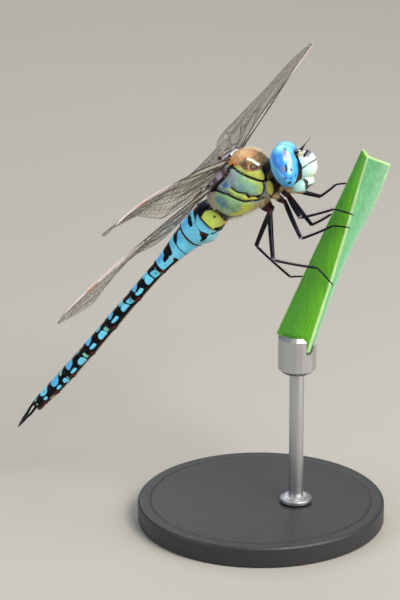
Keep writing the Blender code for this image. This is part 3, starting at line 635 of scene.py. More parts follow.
# Lays each segment's marks on it flat, with the way round measured along the skin in mm.
def makeAbdomen():
    colours = abdomenColours
    for number in range(1, 11):
        rings, share, turn, radius = segmentRings(number)
        length = abdomenShape["lengths"][number - 1]
        scale = np.array([length, math.radians(1) * radius])
        flat = np.stack(np.meshgrid(share, turn, indexing="ij"), -1).reshape(-1, 2) * scale
        base, marks = abdomenMarks[number]
        tint = plainTint(colours[base], flat)
        for kind, colour, size, points in marks:
            points = np.array(points, float) * scale
            if kind == "patch":
                mask = patchMask(flat, points, size)
            elif kind == "line":
                mask = lineMask(flat, points, size, 0.04)
            else:
                mask = spotMask(flat, points, size, 0.35)
            paint(tint, mask, colours[colour])
        if 4 <= number <= 9:
            rear = 0.87 if number < 9 else 0.8
            corner = np.array([(rear, 122), (0.96, 120), (0.96, 160), (rear, 160)]) * scale
            paint(tint, patchMask(flat, corner, 0.12) * 0.8, colours["rust"])
        if number > 2:
            belly = np.array([(0.08, 158), (0.86, 156), (0.86, 210), (0.08, 210)]) * scale
            colour = colours["tan" if number < 9 else "brown"]
            paint(tint, patchMask(flat, belly, 0.08) * 0.7, colour)
        parts = shell(rings)
        ends = plainTint(colours["black"], parts[0][-2:])
        makePiece(f"abdomen_segment_{number:02d}", parts, "chitin_marked_satin",
                  (f"abdomen_{number:02d}",), np.vstack([tint, ends]))


makeAbdomen()
print("abdomen made: ten tucked segments with their marks")


claspers = {
    "droop": 9, "around": 24, "rings": 60, "roll": 28,
    # upper pair: a narrow stalk that bows outwards, then a flat pointed blade, from root to tip
    "upper": {"length": 5.05, "sunk": 0.25, "lift": 0.15, "along": (0, 0.12, 0.3, 0.5, 0.7, 0.88, 1),
              "width": (0.22, 0.2, 0.21, 0.27, 0.31, 0.2, 0.04),
              "depth": (0.22, 0.18, 0.16, 0.17, 0.18, 0.12, 0.04),
              "apart": (0.5, 0.8, 0.8, 0.46, 0.24, 0.12, 0.04), "colour": "#0b0709"},
    "lower": {"length": 1.5, "sunk": 1, "lift": -0.62, "along": (0, 0.3, 0.6, 0.85, 1),
              "width": (0.52, 0.54, 0.48, 0.34, 0.12), "depth": (0.36, 0.38, 0.34, 0.24, 0.08),
              "apart": (0, 0, 0, 0, 0), "colour": "#4a2a1a"},
    "blotch": "#2c1812",
}


# A clasper: an ellipse that follows a line bowed sideways, its width and depth read along it,
# with a keel added above; the pair is rolled about the tail's axis.
def clasperRings(shape, hand):
    end, pitch = abdomenAxis(np.array([segmentEnds[-1]]))
    turn = math.radians(pitch[0] + claspers["droop"])
    back = np.array([-math.cos(turn), 0.0, -math.sin(turn)])
    top = np.array([-math.sin(turn), 0.0, math.cos(turn)])
    t = np.linspace(0, 1, claspers["rings"])
    width, depth, apart = (curveThrough(t, shape["along"], shape[key]) for key in ("width", "depth", "apart"))
    middle = end[0] + np.outer(shape["length"] * t - shape["sunk"], back) + shape["lift"] * top
    roll = math.radians(claspers["roll"])
    middle += (apart * hand)[:, None] * (math.cos(roll) * np.array([0, 1, 0]) + math.sin(roll) * top)
    angle = np.arange(claspers["around"]) * 2 * np.pi / claspers["around"]
    keel = 0.07 * bell(angle, np.pi / 2, 0.35)
    return (middle[:, None, :] + (width[:, None] * np.cos(angle))[..., None] * np.array([0, 1, 0])
            + (depth[:, None] * (np.sin(angle) + keel * 4))[..., None] * top)


# The upper pair is black, and the lower one brown, each with soft brown blotches.
def makeClaspers():
    for name, hand, shape in (("right", -1, "upper"), ("left", 1, "upper"), ("lower", 0, "lower")):
        parts = shell(clasperRings(claspers[shape], hand))
        tint = plainTint(claspers[shape]["colour"], parts[0])
        paint(tint, ease(ripple(parts[0], 1.1), 0.0, 0.9) * 0.4, claspers["blotch"])
        makePiece(f"clasper_{name}", parts, "chitin_black_polished",
                  (f"appendage_{name}",), tint)


makeClaspers()
print("claspers made")


thoraxPaint = {
    "ground": "#8aa9a4",
    # colour, soft rim, outline; each point is along the axis and height above it
    "fields": [
        ("#b3b0a0", 0.35, ((-6, 3), (-6, -1.2), (-3.7, -1.2), (-3.5, -0.4), (-2.9, 1), (-2.6, 3))),
        ("#19141f", 0.14, ((-6, -0.9), (-6, -5), (-2, -5), (-2.6, -3.6), (-3.5, -2.9), (-3.85, -1.6),
            (-4.1, -0.9))),
        ("#5a4a55", 0.25, ((0.8, 3.2), (0.6, 2.3), (-0.4, 2), (-1.9, 1.8), (-2.5, 1.4), (-3.6, 1.8),
            (-3.6, 3.4))),
        ("#a99bab", 0.18, ((-0.2, 3), (-0.4, 2.3), (-1.3, 2.1), (-1.5, 2.9))),
        ("#9a8f9c", 0.18, ((-2.2, 2.6), (-2.3, 1.9), (-3.1, 1.9), (-3.1, 2.5))),
        ("#8b9aa8", 0.3, ((0.6, 2.3), (1.6, 1.8), (1.4, 0.6), (0.2, 0.4), (-0.3, 1.2))),
        ("#4a72a8", 0.25, ((-0.9, 1.6), (-0.2, 1.5), (-0.1, 0.9), (-0.7, 0.7), (-1.2, 1.1))),
        ("#86b79a", 0.45, ((1.2, 1.2), (2.4, 0.6), (3.2, -0.6), (3, -2.4), (1.4, -1.8), (0.9, -0.6))),
        ("#6d9ba6", 0.35, ((0.6, 0), (1.4, 0.2), (1.5, -0.9), (0.8, -0.7))),
        ("#b2ca60", 0.4, ((2.3, 0.9), (2.8, 0.3), (3.6, -0.9), (4.3, -1.4), (3.8, -2.9), (2, -3),
            (2.3, -2.2), (3, -1.6), (2.7, -0.4))),
        ("#bccd5c", 0.06, ((1.5, 2.7), (2.5, 2.3), (2.8, 1.5), (3.1, 1), (3.7, 0.5), (4.2, 0.3),
            (5.4, 0), (5.4, -1.6), (4, -1.5), (3.6, -1), (3.2, -0.3), (2.8, 0.3), (2.4, 1),
            (1.9, 1.9))),
        ("#d3cc50", 0.35, ((3.9, -0.1), (4.8, -0.3), (4.8, -1.6), (3.8, -1.3))),
        ("#9cc36c", 0.3, ((1.6, 2.5), (2.4, 2.1), (2.7, 1.2), (2.3, 1), (1.8, 1.9))),
        ("#7c6f8c", 0.3, ((-2.6, 1.6), (-1.6, 1.4), (-1.3, 0.5), (-2, 0.2))),
        ("#a8c266", 0.1, ((-2.4, 1.3), (-1.7, 0.5), (-1.1, -0.1), (-0.7, -0.9), (-0.3, -1.6), (0.1, -2.2),
            (0.8, -2.6), (1.5, -3.1), (2.4, -3.4), (2.6, -2.8), (2.1, -2.7), (1.7, -2.4), (1.2, -2),
            (1.1, -1.4), (0.7, -1), (0.2, -0.5), (-0.1, 0.3), (-1.2, 0.7))),
        ("#6b93a8", 0.3, ((-2.4, 1.2), (-0.9, 0.6), (-0.6, -0.1), (-1.4, 0.2))),
        ("#d8ce55", 0.25, ((0.5, -1.5), (1.3, -1.9), (2.4, -2.8), (1.4, -3), (0.4, -2.2))),
        ("#8cb988", 0.12, ((-2.9, 0.9), (-2.3, 1.1), (-1.7, 0.4), (-1.1, -0.2), (-0.7, -1), (-0.3, -1.7),
            (0.1, -2.3), (0.9, -3.2), (0.2, -3.6), (-1.4, -3.75), (-2.6, -3.4), (-3.5, -2.5), (-3.85, -1.5),
            (-3.7, -0.4))),
        ("#6698a8", 0.4, ((-3.2, 0.4), (-2.3, 0.4), (-1.9, -0.6), (-2.4, -1.6), (-3.3, -1.2))),
        ("#c3d24e", 0.35, ((-0.4, -2.3), (0.6, -2.8), (0.4, -3.7), (-1.6, -3.9), (-3.2, -3), (-2.8, -2.5),
            (-1.4, -2.9))),
        ("#a5bda0", 0.25, ((-3.3, -1.4), (-2.9, -1.2), (-2.6, -2.4), (-3.3, -2.2))),
        ("#a5714a", 0.08, ((1.1, 2.75), (1.8, 2.6), (2.5, 2.25), (2.8, 1.5), (3.1, 1), (3.7, 0.5),
            (4.1, 0.3), (4.5, 0.2), (5.6, 0.2), (5.6, 6), (0.9, 6))),
        ("#8a5f38", 0.3, ((2.3, 2.9), (4.6, 2.2), (5, 0.6), (4.2, 0.3), (3, 1.2))),
        ("#3f2817", 0.08, ((2.6, 2.5), (3.5, 2.5), (3.6, 1.5), (3.15, 1.1), (2.8, 1.6))),
        ("#432918", 0.08, ((3.5, 1.6), (4.2, 1.5), (4.5, 0.7), (4.1, 0.4), (3.6, 0.7))),
        ("#65583a", 0.25, ((4.4, 2.4), (5.6, 2.4), (5.6, -0.2), (4.75, 0.1), (4.6, 0.7))),
        ("#c9a070", 0.25, ((2.6, 3.3), (3.6, 2.6), (4.1, 2.2), (3.9, 2.7), (3, 3.8))),
        ("#c77a3c", 0.25, ((1.3, 3.2), (2, 3.1), (2.3, 2.7), (1.7, 2.5))),
    ],
    # colour, width, chain
    "lines": [
        ("#b9784a", 0.14, ((3.9, 1.8), (3.5, 1.5), (3.2, 1.1))),
        ("#a5b98a", 0.1, ((2.2, 0.4), (1.8, -0.5), (1.5, -1.3))),
        ("#6d8290", 0.12, ((-2.2, 0.1), (-2.3, -1.2), (-2.1, -2.6))),
        ("#79a070", 0.1, ((-1, -1.2), (-1.2, -2.2), (-1.1, -2.9))),
        ("#c9a864", 0.12, ((-2.9, 0.9), (-3.7, -0.4), (-3.85, -1.5), (-3.5, -2.5), (-2.6, -3.4),
            (-1.4, -3.75), (0.2, -3.6), (0.9, -3.2))),
        ("#07050a", 0.34, ((-2.9, 1.5), (-2.4, 1.3), (-1.7, 0.5), (-1.1, -0.1), (-0.7, -0.9), (-0.3, -1.6),
            (0.1, -2.2), (0.8, -2.6), (1.5, -3.1), (2.4, -3.4))),
        ("#07050a", 0.26, ((-0.1, 0.35), (0.2, -0.5), (0.7, -1), (1.1, -1.4), (1.2, -2), (1.7, -2.4),
            (2.1, -2.7))),
        ("#15101a", 0.42, ((1, -1.3), (1.15, -1.5), (1.05, -2))),
        ("#07050a", 0.6, ((4.05, -1.5), (3.65, -2.2), (3.05, -2.75), (2.5, -2.95), (2, -2.75))),
        ("#7b7f95", 0.3, ((4.05, -1.55), (3.68, -2.25), (3.1, -2.8), (2.5, -3))),
        ("#07050a", 0.34, ((0.9, 2.8), (1.6, 2.6), (1.9, 1.9), (2.4, 1), (2.8, 0.3), (3.2, -0.3),
            (3.6, -1), (4.05, -1.5))),
        ("#1a1016", 0.5, ((1.6, 2.75), (1, 2.75), (0.6, 2.3), (-0.4, 2), (-1.9, 1.8), (-2.5, 1.4),
            (-3.2, 1.6))),
        ("#dff7e6", 0.22, ((3.7, 2.35), (4.1, 1.85), (4.5, 0.85))),
        ("#4a3a28", 0.45, ((4.95, 0.2), (4.92, -0.2), (4.85, -0.8))),
        ("#07050a", 0.3, ((4.62, 0.3), (4.55, -0.8), (4.15, -1.45))),
    ],
    # the same for the back, each point along the axis and out from the middle line
    "backFields": [
        ("#1a1418", 0.12, ((1.25, 0), (1.25, 2.6), (-4.6, 2.2), (-5.4, 0), (-4.6, -2.2), (1.25, -2.6))),
        ("#b9b7c4", 0.1, ((0.9, 0.25), (0.9, 1.1), (0.2, 1.5), (-0.2, 0.9), (0.2, 0.25))),
        ("#c7c2c6", 0.1, ((-0.5, 0.2), (-0.5, 1.2), (-1, 1.4), (-1.3, 0.6), (-1.1, 0.2))),
        ("#8c7f86", 0.12, ((-1.7, 0.25), (-1.6, 1.3), (-2.3, 1.5), (-2.8, 0.9), (-2.6, 0.25))),
        ("#6f8f98", 0.12, ((-3, 0.3), (-3, 1.1), (-3.6, 1.2), (-3.9, 0.4))),
        ("#b98d63", 0.1, ((0.6, 1.7), (0.2, 2.2), (-0.5, 2), (0, 1.6))),
    ],
    "backLines": [
        ("#07050a", 0.5, ((1.5, -1.5), (1.42, 0), (1.5, 1.5))),
        # a painted highlight: the white-blue glint along the top of the black crest
        ("#dfe6ee", 0.16, ((1.62, -1.3), (1.55, 0), (1.62, 1.3))),
        ("#2a1710", 0.16, ((1.7, 0), (4.9, 0))),
        ("#07050a", 0.22, ((-1.45, -1.6), (-1.45, 1.6))),
    ],
}


# The thorax shell: fine rings of the section, its ends rounded in, then raised or sunk along its
# normal. Seams sink, panels swell between them, a keel runs over the front, and the back between
# the wings rises in plates.
def makeThorax():
    around, rows, over = (thoraxShape[key] for key in ("around", "rows", "over"))
    low, high = thoraxShape["along"][0] - over, thoraxShape["along"][-1] + over
    along = low + (high - low) * (0.5 - 0.5 * np.cos(np.linspace(0.12, np.pi - 0.12, rows)))
    along = 0.35 * along + 0.65 * np.linspace(low, high, rows)
    inner = np.clip(along, *np.array(thoraxShape["along"])[[0, -1]])
    shrink = np.sqrt(1 - 0.55 * (1 - ease(along - low, 0, 0.55)) ** 2)
    shrink = shrink * np.sqrt(1 - 0.6 * (1 - ease(high - along, 0, 0.6)) ** 2)
    rings = thoraxRings(inner, around, shrink)
    turn = math.radians(thoraxShape["pitch"])
    axis = np.array([math.cos(turn), 0.0, math.sin(turn)])
    top = np.array([-math.sin(turn), 0.0, math.cos(turn)])
    rings = rings + (along - inner)[:, None, None] * axis
    flat = rings.reshape(-1, 3)
    place = flat - np.array(thoraxShape["centre"])
    side = np.stack([place @ axis, place @ top], 1)
    back = np.stack([place @ axis, place[:, 1]], 1)
    upward = ease(place @ top, 2.2, 2.9) * (1 - ease(np.abs(place[:, 1]), 2.3, 2.8))
    tint = plainTint(thoraxPaint["ground"], flat)
    paint(tint, ease(-side[:, 1], 3.2, 3.7), "#a89468")
    for colour, soft, outline in thoraxPaint["fields"]:
        paint(tint, patchMask(side, outline, soft), colour)
    seams = np.zeros(len(flat))
    for colour, width, chain in thoraxPaint["lines"]:
        mask = lineMask(side, chain, width, 0.05)
        paint(tint, mask, colour)
        if width > 0.2:
            near = chainDistance(side, roundCorners(chain, False))
            seams = np.maximum(seams, np.exp(-(near / (0.3 + width / 3)) ** 2))
    mirror = np.stack([back[:, 0], np.abs(back[:, 1])], 1)
    raised = np.zeros(len(flat))
    for colour, soft, outline in thoraxPaint["backFields"]:
        points = mirror if min(y for x, y in outline) >= 0 else back
        mask = patchMask(points, outline, soft) * upward
        paint(tint, mask, colour)
        if points is mirror:
            raised = np.maximum(raised, mask)
    for colour, width, chain in thoraxPaint["backLines"]:
        paint(tint, lineMask(back, chain, width, 0.05) * ease(place @ top, 0.6, 1.2), colour)
    keel = bell(place[:, 1], 0, 0.14) * ease(side[:, 0], 1.6, 2.0) * ease(side[:, 1], 0, 1)
    crest = bell(side[:, 0], 1.45, 0.22) * ease(side[:, 1], 2.6, 3.0)
    crest = crest * (1 - ease(np.abs(place[:, 1]), 1.2, 2.0))
    sternum = bell(np.abs(place[:, 1]), 0.9, 0.25) * ease(-side[:, 1], 2.8, 3.4)
    heights = thoraxShape["heights"]
    relief = (heights["seams"] * seams + heights["keel"] * keel + heights["crest"] * crest
              + heights["raised"] * raised + heights["sternum"] * sternum
              + 0.02 * ripple(flat, 1.7) + 0.012 * ripple(flat, 0.6))
    neighbours = np.roll(rings, -1, axis=1) - np.roll(rings, 1, axis=1)
    forwards = np.gradient(rings, axis=0)
    normal = unit(np.cross(forwards, neighbours).reshape(-1, 3))
    if np.einsum("ij,ij->", normal, flat - np.array(thoraxShape["centre"])) < 0:
        normal = -normal
    paint(tint, ease(ripple(flat, 0.9), 0.2, 0.9) * 0.18, "#d9d6b0")
    moved = (flat + normal * relief[:, None]).reshape(rings.shape)
    makePiece("thorax_shell", shell(moved), "chitin_thorax_leathery", ("thorax",),
              np.vstack([tint, tint[:1], tint[-1:]]))
    return flat, normal, tint, side, place


thoraxSurface = makeThorax()
print("thorax made")


neck = {
    "rear": (9.7, 0, 18.3), "front": (11.35, 0, 19.45), "pitch": 20,
    "along": (0, 0.35, 0.7, 1), "up": (1.5, 1.45, 1.1, 0.85), "down": (2.6, 2.6, 2.1, 1.5),
    "side": (1.7, 1.65, 1.3, 0.95), "rows": 60, "around": 144,
    "plate": "#d6cc62", "rim": "#120d12", "dark": "#2a1f22", "upper": "#65503a", "lobe": "#8c7a55",
    "throat": "#9c7f5a",
    "plateOutline": ((0.1, 1.46), (0.52, 1.46), (0.64, 1.72), (0.52, 2.08), (0.22, 2.2), (0.08, 1.9)),
    "rimOutline": ((0.02, 1.36), (0.6, 1.36), (0.74, 1.72), (0.6, 2.17), (0.18, 2.3), (0, 1.9)),
    "lobeOutline": ((0.1, -0.3), (0.1, 0.5), (0.4, 0.6), (0.5, -0.3)),
}


# The collar between thorax and head: a section along a short line, with two raised side plates
# and a lobed rim above. Its marks lie flat: the share along it, and the angle from the back over 60.
def makeNeck():
    rear, front = np.array(neck["rear"]), np.array(neck["front"])
    rows, around = neck["rows"], neck["around"]
    share = np.linspace(0, 1, rows)
    centres = rear + np.outer(share, front - rear)
    sizes = [curveThrough(share, neck["along"], neck[key]) for key in ("up", "down", "side")]
    rings = sectionRings(centres, np.full(rows, neck["pitch"]), *sizes, around)
    angle = np.arange(around) * 360 / around
    turn = np.abs((angle - 90 + 180) % 360 - 180)[None, :] * np.ones((rows, 1))
    held = share[:, None] * np.ones((1, around))
    flat = np.stack([held.ravel(), turn.ravel() / 60], 1)
    tint = plainTint(neck["dark"], flat)
    plate = patchMask(flat, neck["plateOutline"], 0.04)
    rim = patchMask(flat, neck["rimOutline"], 0.05)
    lobe = patchMask(flat, neck["lobeOutline"], 0.06)
    paint(tint, 1 - ease(flat[:, 1], 1.1, 1.5), neck["upper"])
    paint(tint, rim, neck["rim"])
    paint(tint, plate, neck["plate"])
    paint(tint, lobe * 0.7, neck["lobe"])
    paint(tint, ease(flat[:, 1], 2.35, 2.7), neck["throat"])
    relief = 0.22 * rim + 0.1 * plate + 0.15 * lobe
    out = unit(rings - centres[:, None, :]).reshape(-1, 3)
    moved = (rings.reshape(-1, 3) + out * relief[:, None]).reshape(rings.shape)
    makePiece("neck_collar", shell(moved), "chitin_thorax_leathery", ("prothorax",),
              np.vstack([tint, tint[:1], tint[-1:]]))


makeNeck()
print("neck made")


headShape = {
    "centre": (12.9, 0, 20.6), "pitch": 11.5, "roll": -10, "yaw": 15,
    "eyeCentre": (-0.5, 1.5, 0.4), "eyeHalf": (1.87, 2.85, 2.95), "eyeTaper": 0.1, "eyeFlat": 0.06,
    "eyeLean": 2.5,
}


# Head axes (forward, left, up) to body axes: a roll about forward, then the nose lifted, then the
# face turned a little to its left.
def headTurn():
    pitch, roll, yaw = (math.radians(headShape[key]) for key in ("pitch", "roll", "yaw"))
    cos, sin = math.cos, math.sin
    about = np.array([[cos(pitch), 0, -sin(pitch)], [0, 1, 0], [sin(pitch), 0, cos(pitch)]])
    tilt = np.array([[1, 0, 0], [0, cos(roll), -sin(roll)], [0, sin(roll), cos(roll)]])
    swing = np.array([[cos(yaw), -sin(yaw), 0], [sin(yaw), cos(yaw), 0], [0, 0, 1]])
    return swing @ about @ tilt


# Places in head axes as places in body axes.
def fromHead(points):
    return points @ headTurn().T + np.array(headShape["centre"])


# An ellipsoid's rings in head axes, from its lower end up: sine and cosine of the fall and turn
# times the half sizes. power below 1 makes it boxier; taper slims its lower end.
def domeRings(centre, half, around, rings, taper=0.0, power=1.0):
    fall = np.linspace(np.pi, 0, rings + 2)[1:-1]
    turn = np.arange(around) * 2 * np.pi / around
    ring = (np.sin(fall) ** power)[:, None]
    slim = 1 + taper * np.cos(fall)[:, None]
    level = np.sign(np.cos(fall)) * np.abs(np.cos(fall)) ** power
    dome = [ring * np.cos(turn) * half[0] * slim, ring * np.sin(turn) * half[1] * slim,
            level[:, None] * np.ones(around) * half[2]]
    return np.array(centre) + np.stack(dome, axis=-1)


# The distance of each point from a place.
def farFrom(points, place):
    return np.linalg.norm(points - np.array(place), axis=1)


# A head piece from its rings' shape, its points and their colours, all still in head axes.
def makeHeadPiece(name, rings, points, finish, node, tint):
    posed = fromHead(points[:-2]).reshape(rings.shape)
    makePiece(name, shell(posed), finish, (node,), tint)


eyePaint = {
    "mid": "#4aaaf6", "deep": "#3288e4", "rim": "#7fd8ff", "low": "#48aeee", "paintedHighlight": "#c4e6ff",
    "pupil": "#8a7f92", "ink": "#04050c", "dark": "#1f427f", "halo": "#6f86b4", "seam": "#2b4f86",
    # chains and spots in head axes: forward, out from the middle, up
    "rimChain": ((-1.7, 1.6, 2.9), (-2.1, 1.9, 2.35), (-2, 3.15, 1.55), (-1.85, 3.5, 0.55),
                 (-1.7, 3.15, -0.5)),
    "topChain": ((-0.75, 2.25, 3.25), (0.1, 2.45, 3), (0.8, 2.2, 2.4)),
    # the chain of a painted highlight: the pale vertical band of reflected light down the eye's front
    "paintedHighlightChain": ((0.45, 3.3, 2.25), (0.5, 3.65, 1.75), (0.6, 3.75, 1.2), (0.55, 3.9, 0.5),
                   (0.4, 3.95, -0.2)),
    "pupilUpper": ((0.1, 3.1, 2.7), (0.05, 3.55, 2.4), (0, 3.85, 2.05), (0.1, 4, 1.7)),
    "pupilLower": (-0.35, 4.3, 0.35), "crescent": ((0, 4.3, 0.8), (0.05, 4.25, 0.4), (-0.05, 4.2, 0)),
    # the front edge, where a black line meets the face: heights, and how far forward it lies there
    "edge": ((-1.55, -1.1, -0.5, 0.1, 0.9, 1.55, 2.25), (0.95, 1.15, 1.33, 1.38, 1.3, 1.12, 0.95)),
    "topSpot": (0.1, 2.9, 2.85), "streak": ((0.62, 3.7, 0.7), (0.62, 3.8, 0.4), (0.6, 3.8, 0.1)),
    # dark spots: place, radius, colour, strength
    "spots": (((0.6, 3.8, 0), 0.2, "#04050c", 1), ((-0.05, 3.2, -1.75), 0.3, "#04050c", 1),
              ((-0.4, 3.85, -0.95), 0.28, "#1f427f", 0.75), ((0.35, 3.55, -1.15), 0.26, "#1f427f", 0.75),
              ((0.95, 2.9, -0.95), 0.36, "#1f62c4", 0.8), ((1.3, 2.45, 0.4), 0.35, "#2f74d6", 0.6),
              ((-0.7, 3.2, -1.6), 0.16, "#1f427f", 0.5)),
    "around": 220, "rings": 150,
}


# An eye: a tapered ellipsoid, leaned, and cut flat where it meets the other. Its blue bands follow
# slanted lines, up + 1.5 * forward, and the false pupils and spots are laid over them.
def makeEye(name, hand):
    look = eyePaint
    centre = np.array(headShape["eyeCentre"]) * (1, hand, 1)
    rings = domeRings(centre, headShape["eyeHalf"], look["around"], look["rings"], headShape["eyeTaper"])
    lean = math.radians(headShape["eyeLean"])
    rings = (rings - centre) @ np.array([[math.cos(lean), 0, math.sin(lean)], [0, 1, 0],
                                         [-math.sin(lean), 0, math.cos(lean)]]) + centre
    flat = rings[..., 1] * hand
    rings[..., 1] = np.where(flat < headShape["eyeFlat"], headShape["eyeFlat"], flat) * hand
    points = shellPoints(rings)
    place = points * (1, hand, 1)
    forward, up = place[:, 0], place[:, 2]
    tint = plainTint(look["mid"], points)
    deep = ease(up + 1.5 * forward, -1.55, -1.0) * (1 - ease(forward, -0.6, 0.3)) * ease(forward, -2.1, -1.6)
    paint(tint, ease(-up, 0.2, 1.6), look["low"])
    paint(tint, deep, look["deep"])
    paint(tint, ease(up, 2.1, 2.9) * 0.8, look["rim"])
    for chain in ("rimChain", "topChain"):
        paint(tint, bell(chainDistance(place, look[chain]), 0, 0.38) * 0.8, look["rim"])
    edge = bell(up + 1.5 * forward, -1.6, 0.26) * (1 - ease(forward, -0.4, 0.0)) * ease(forward, -2.0, -1.5)
    paint(tint, edge * 0.6, look["rim"])
    # A painted highlight: a pale blue-white vertical band of reflected light down the eye's front.
    paintedHighlight = chainDistance(place, look["paintedHighlightChain"])
    paint(tint, (1 - ease(paintedHighlight, 0.12, 0.62)) * 0.8, look["paintedHighlight"])
    upper = 1 - ease(chainDistance(place, look["pupilUpper"]), 0.16, 0.36)
    paint(tint, upper * 0.85, look["pupil"])
    paint(tint, bell(farFrom(place, look["topSpot"]), 0, 0.22) * 0.8, look["dark"])
    ring = 1 - ease(np.linalg.norm((place - np.array(look["pupilLower"])) / (1, 1, 1.15), axis=1), 0.3, 0.5)
    paint(tint, ring * 0.85, look["halo"])
    core = 1 - ease(farFrom(place - (0.05, 0, -0.1), look["pupilLower"]), 0.12, 0.34)
    paint(tint, core * 0.8, look["pupil"])
    paint(tint, lineMask(place, look["crescent"], 0.24, 0.08), look["ink"])
    for spot, radius, colour, strength in look["spots"]:
        paint(tint, (1 - ease(farFrom(place, spot), radius * 0.5, radius * 1.3)) * strength, colour)
    paint(tint, lineMask(place, look["streak"], 0.18, 0.09) * 0.6, look["dark"])
    paint(tint, ease(forward - np.interp(up, *look["edge"]), 0.0, 0.09), look["ink"])
    paint(tint, ease(-place[:, 1], -0.3, -0.1) * ease(up, 1.0, 2.0) * 0.6, look["seam"])
    makeHeadPiece(name, rings, points, "cornea_faceted_glossy", name, tint)


facePaint = {
    "mint": "#def2ea", "shade": "#b4e0d6", "ink": "#07050a", "paintedVioletSheen": "#6c6884", "tan": "#a89a6c",
    "yellow": "#dcd46a", "seam": "#333c44", "turquoise": "#a0d0ca", "rust": "#a8683c", "gap": "#2a1712",
    "sea": "#7fc0b4", "lip": "#c2a878", "cleft": "#3a2418", "fold": "#7a5634", "nape": "#33271f",
    "temple": "#a48a5c", "cheek": "#b49a68", "ocellus": "#eef2ea",
    # the line between frons and clypeus, from side to side
    "suture": ((1.5, -2.2, -0.42), (1.95, -2.2, -0.16), (2.45, -2.05, 0.05), (2.95, -1.7, 0.27),
               (3.4, -1, 0.4), (3.6, 0, 0.44), (3.4, 1, 0.4), (2.95, 1.7, 0.27),
               (2.45, 2.05, 0.05), (1.95, 2.2, -0.16), (1.5, 2.2, -0.42)),
    # the T's bar and the band of painted greyish-violet sheen before it: out from the middle line, and
    # forward
    "bar": ((-1.85, 2.15), (-1.5, 2.2), (-0.95, 2.42), (0, 2.55), (0.95, 2.42), (1.5, 2.2), (1.85, 2.15),
            (1.8, 2.4), (1.4, 2.62), (0.9, 2.83), (0, 2.93), (-0.9, 2.83), (-1.4, 2.62), (-1.8, 2.4)),
    "paintedSheenBand": ((-1.75, 2.45), (-1.1, 2.8), (0, 2.95), (1.1, 2.8), (1.75, 2.45), (1.5, 2.85), (0.75, 3.12),
             (0, 3.2), (-0.75, 3.12), (-1.5, 2.85)),
    "margin": ((0.9, 1.2, 1.9), (1.15, 1.6, 1.4), (1.3, 2, 0.8), (1.5, 2.2, 0.1), (1.45, 2.15, -0.4),
               (1.25, 1.8, -1.15), (0.95, 1.1, -1.7)),
}


# The domes of the face and the back of the head: middle, half sizes, points around, rings and
# squareness, all in head axes.
headDomes = {
    "frons": ((1.8, 0, 0), (1.82, 2.2, 1.98), 260, 150, 0, 0.86),
    "labrum": ((1.75, 0, -2.2), (1.1, 1.6, 0.85), 160, 90, 0, 0.85),
    "mandible_right": ((0.95, -1.35, -2.7), (1.15, 0.8, 0.95), 130, 80),
    "mandible_left": ((0.95, 1.35, -2.7), (1.15, 0.8, 0.95), 130, 80),
    "labium": ((0.2, 0, -2.9), (1.5, 1.5, 0.75), 140, 70),
    "back": ((-0.2, 0, -0.7), (2, 2.7, 2.5), 120, 70),
    "vertex": ((1.4, 0, 1.84), (0.55, 1.3, 0.42), 90, 48),
    # the simple eyes and pale knobs on the vertex: place and radius
    "ocelli": ((1.95, 0, 2, 0.17), (1.65, 0.85, 2, 0.18), (1.65, -0.85, 2, 0.18),
               (1.35, 0, 2.32, 0.24), (1.7, -1.05, 1.72, 0.13), (1.7, 1.05, 1.72, 0.13)),
}


# A dome of the head, with its points, its ground colour and its coordinates.
def headDome(name, code):
    rings = domeRings(*headDomes[name])
    points = shellPoints(rings)
    return rings, points, plainTint(code, points), *points.T


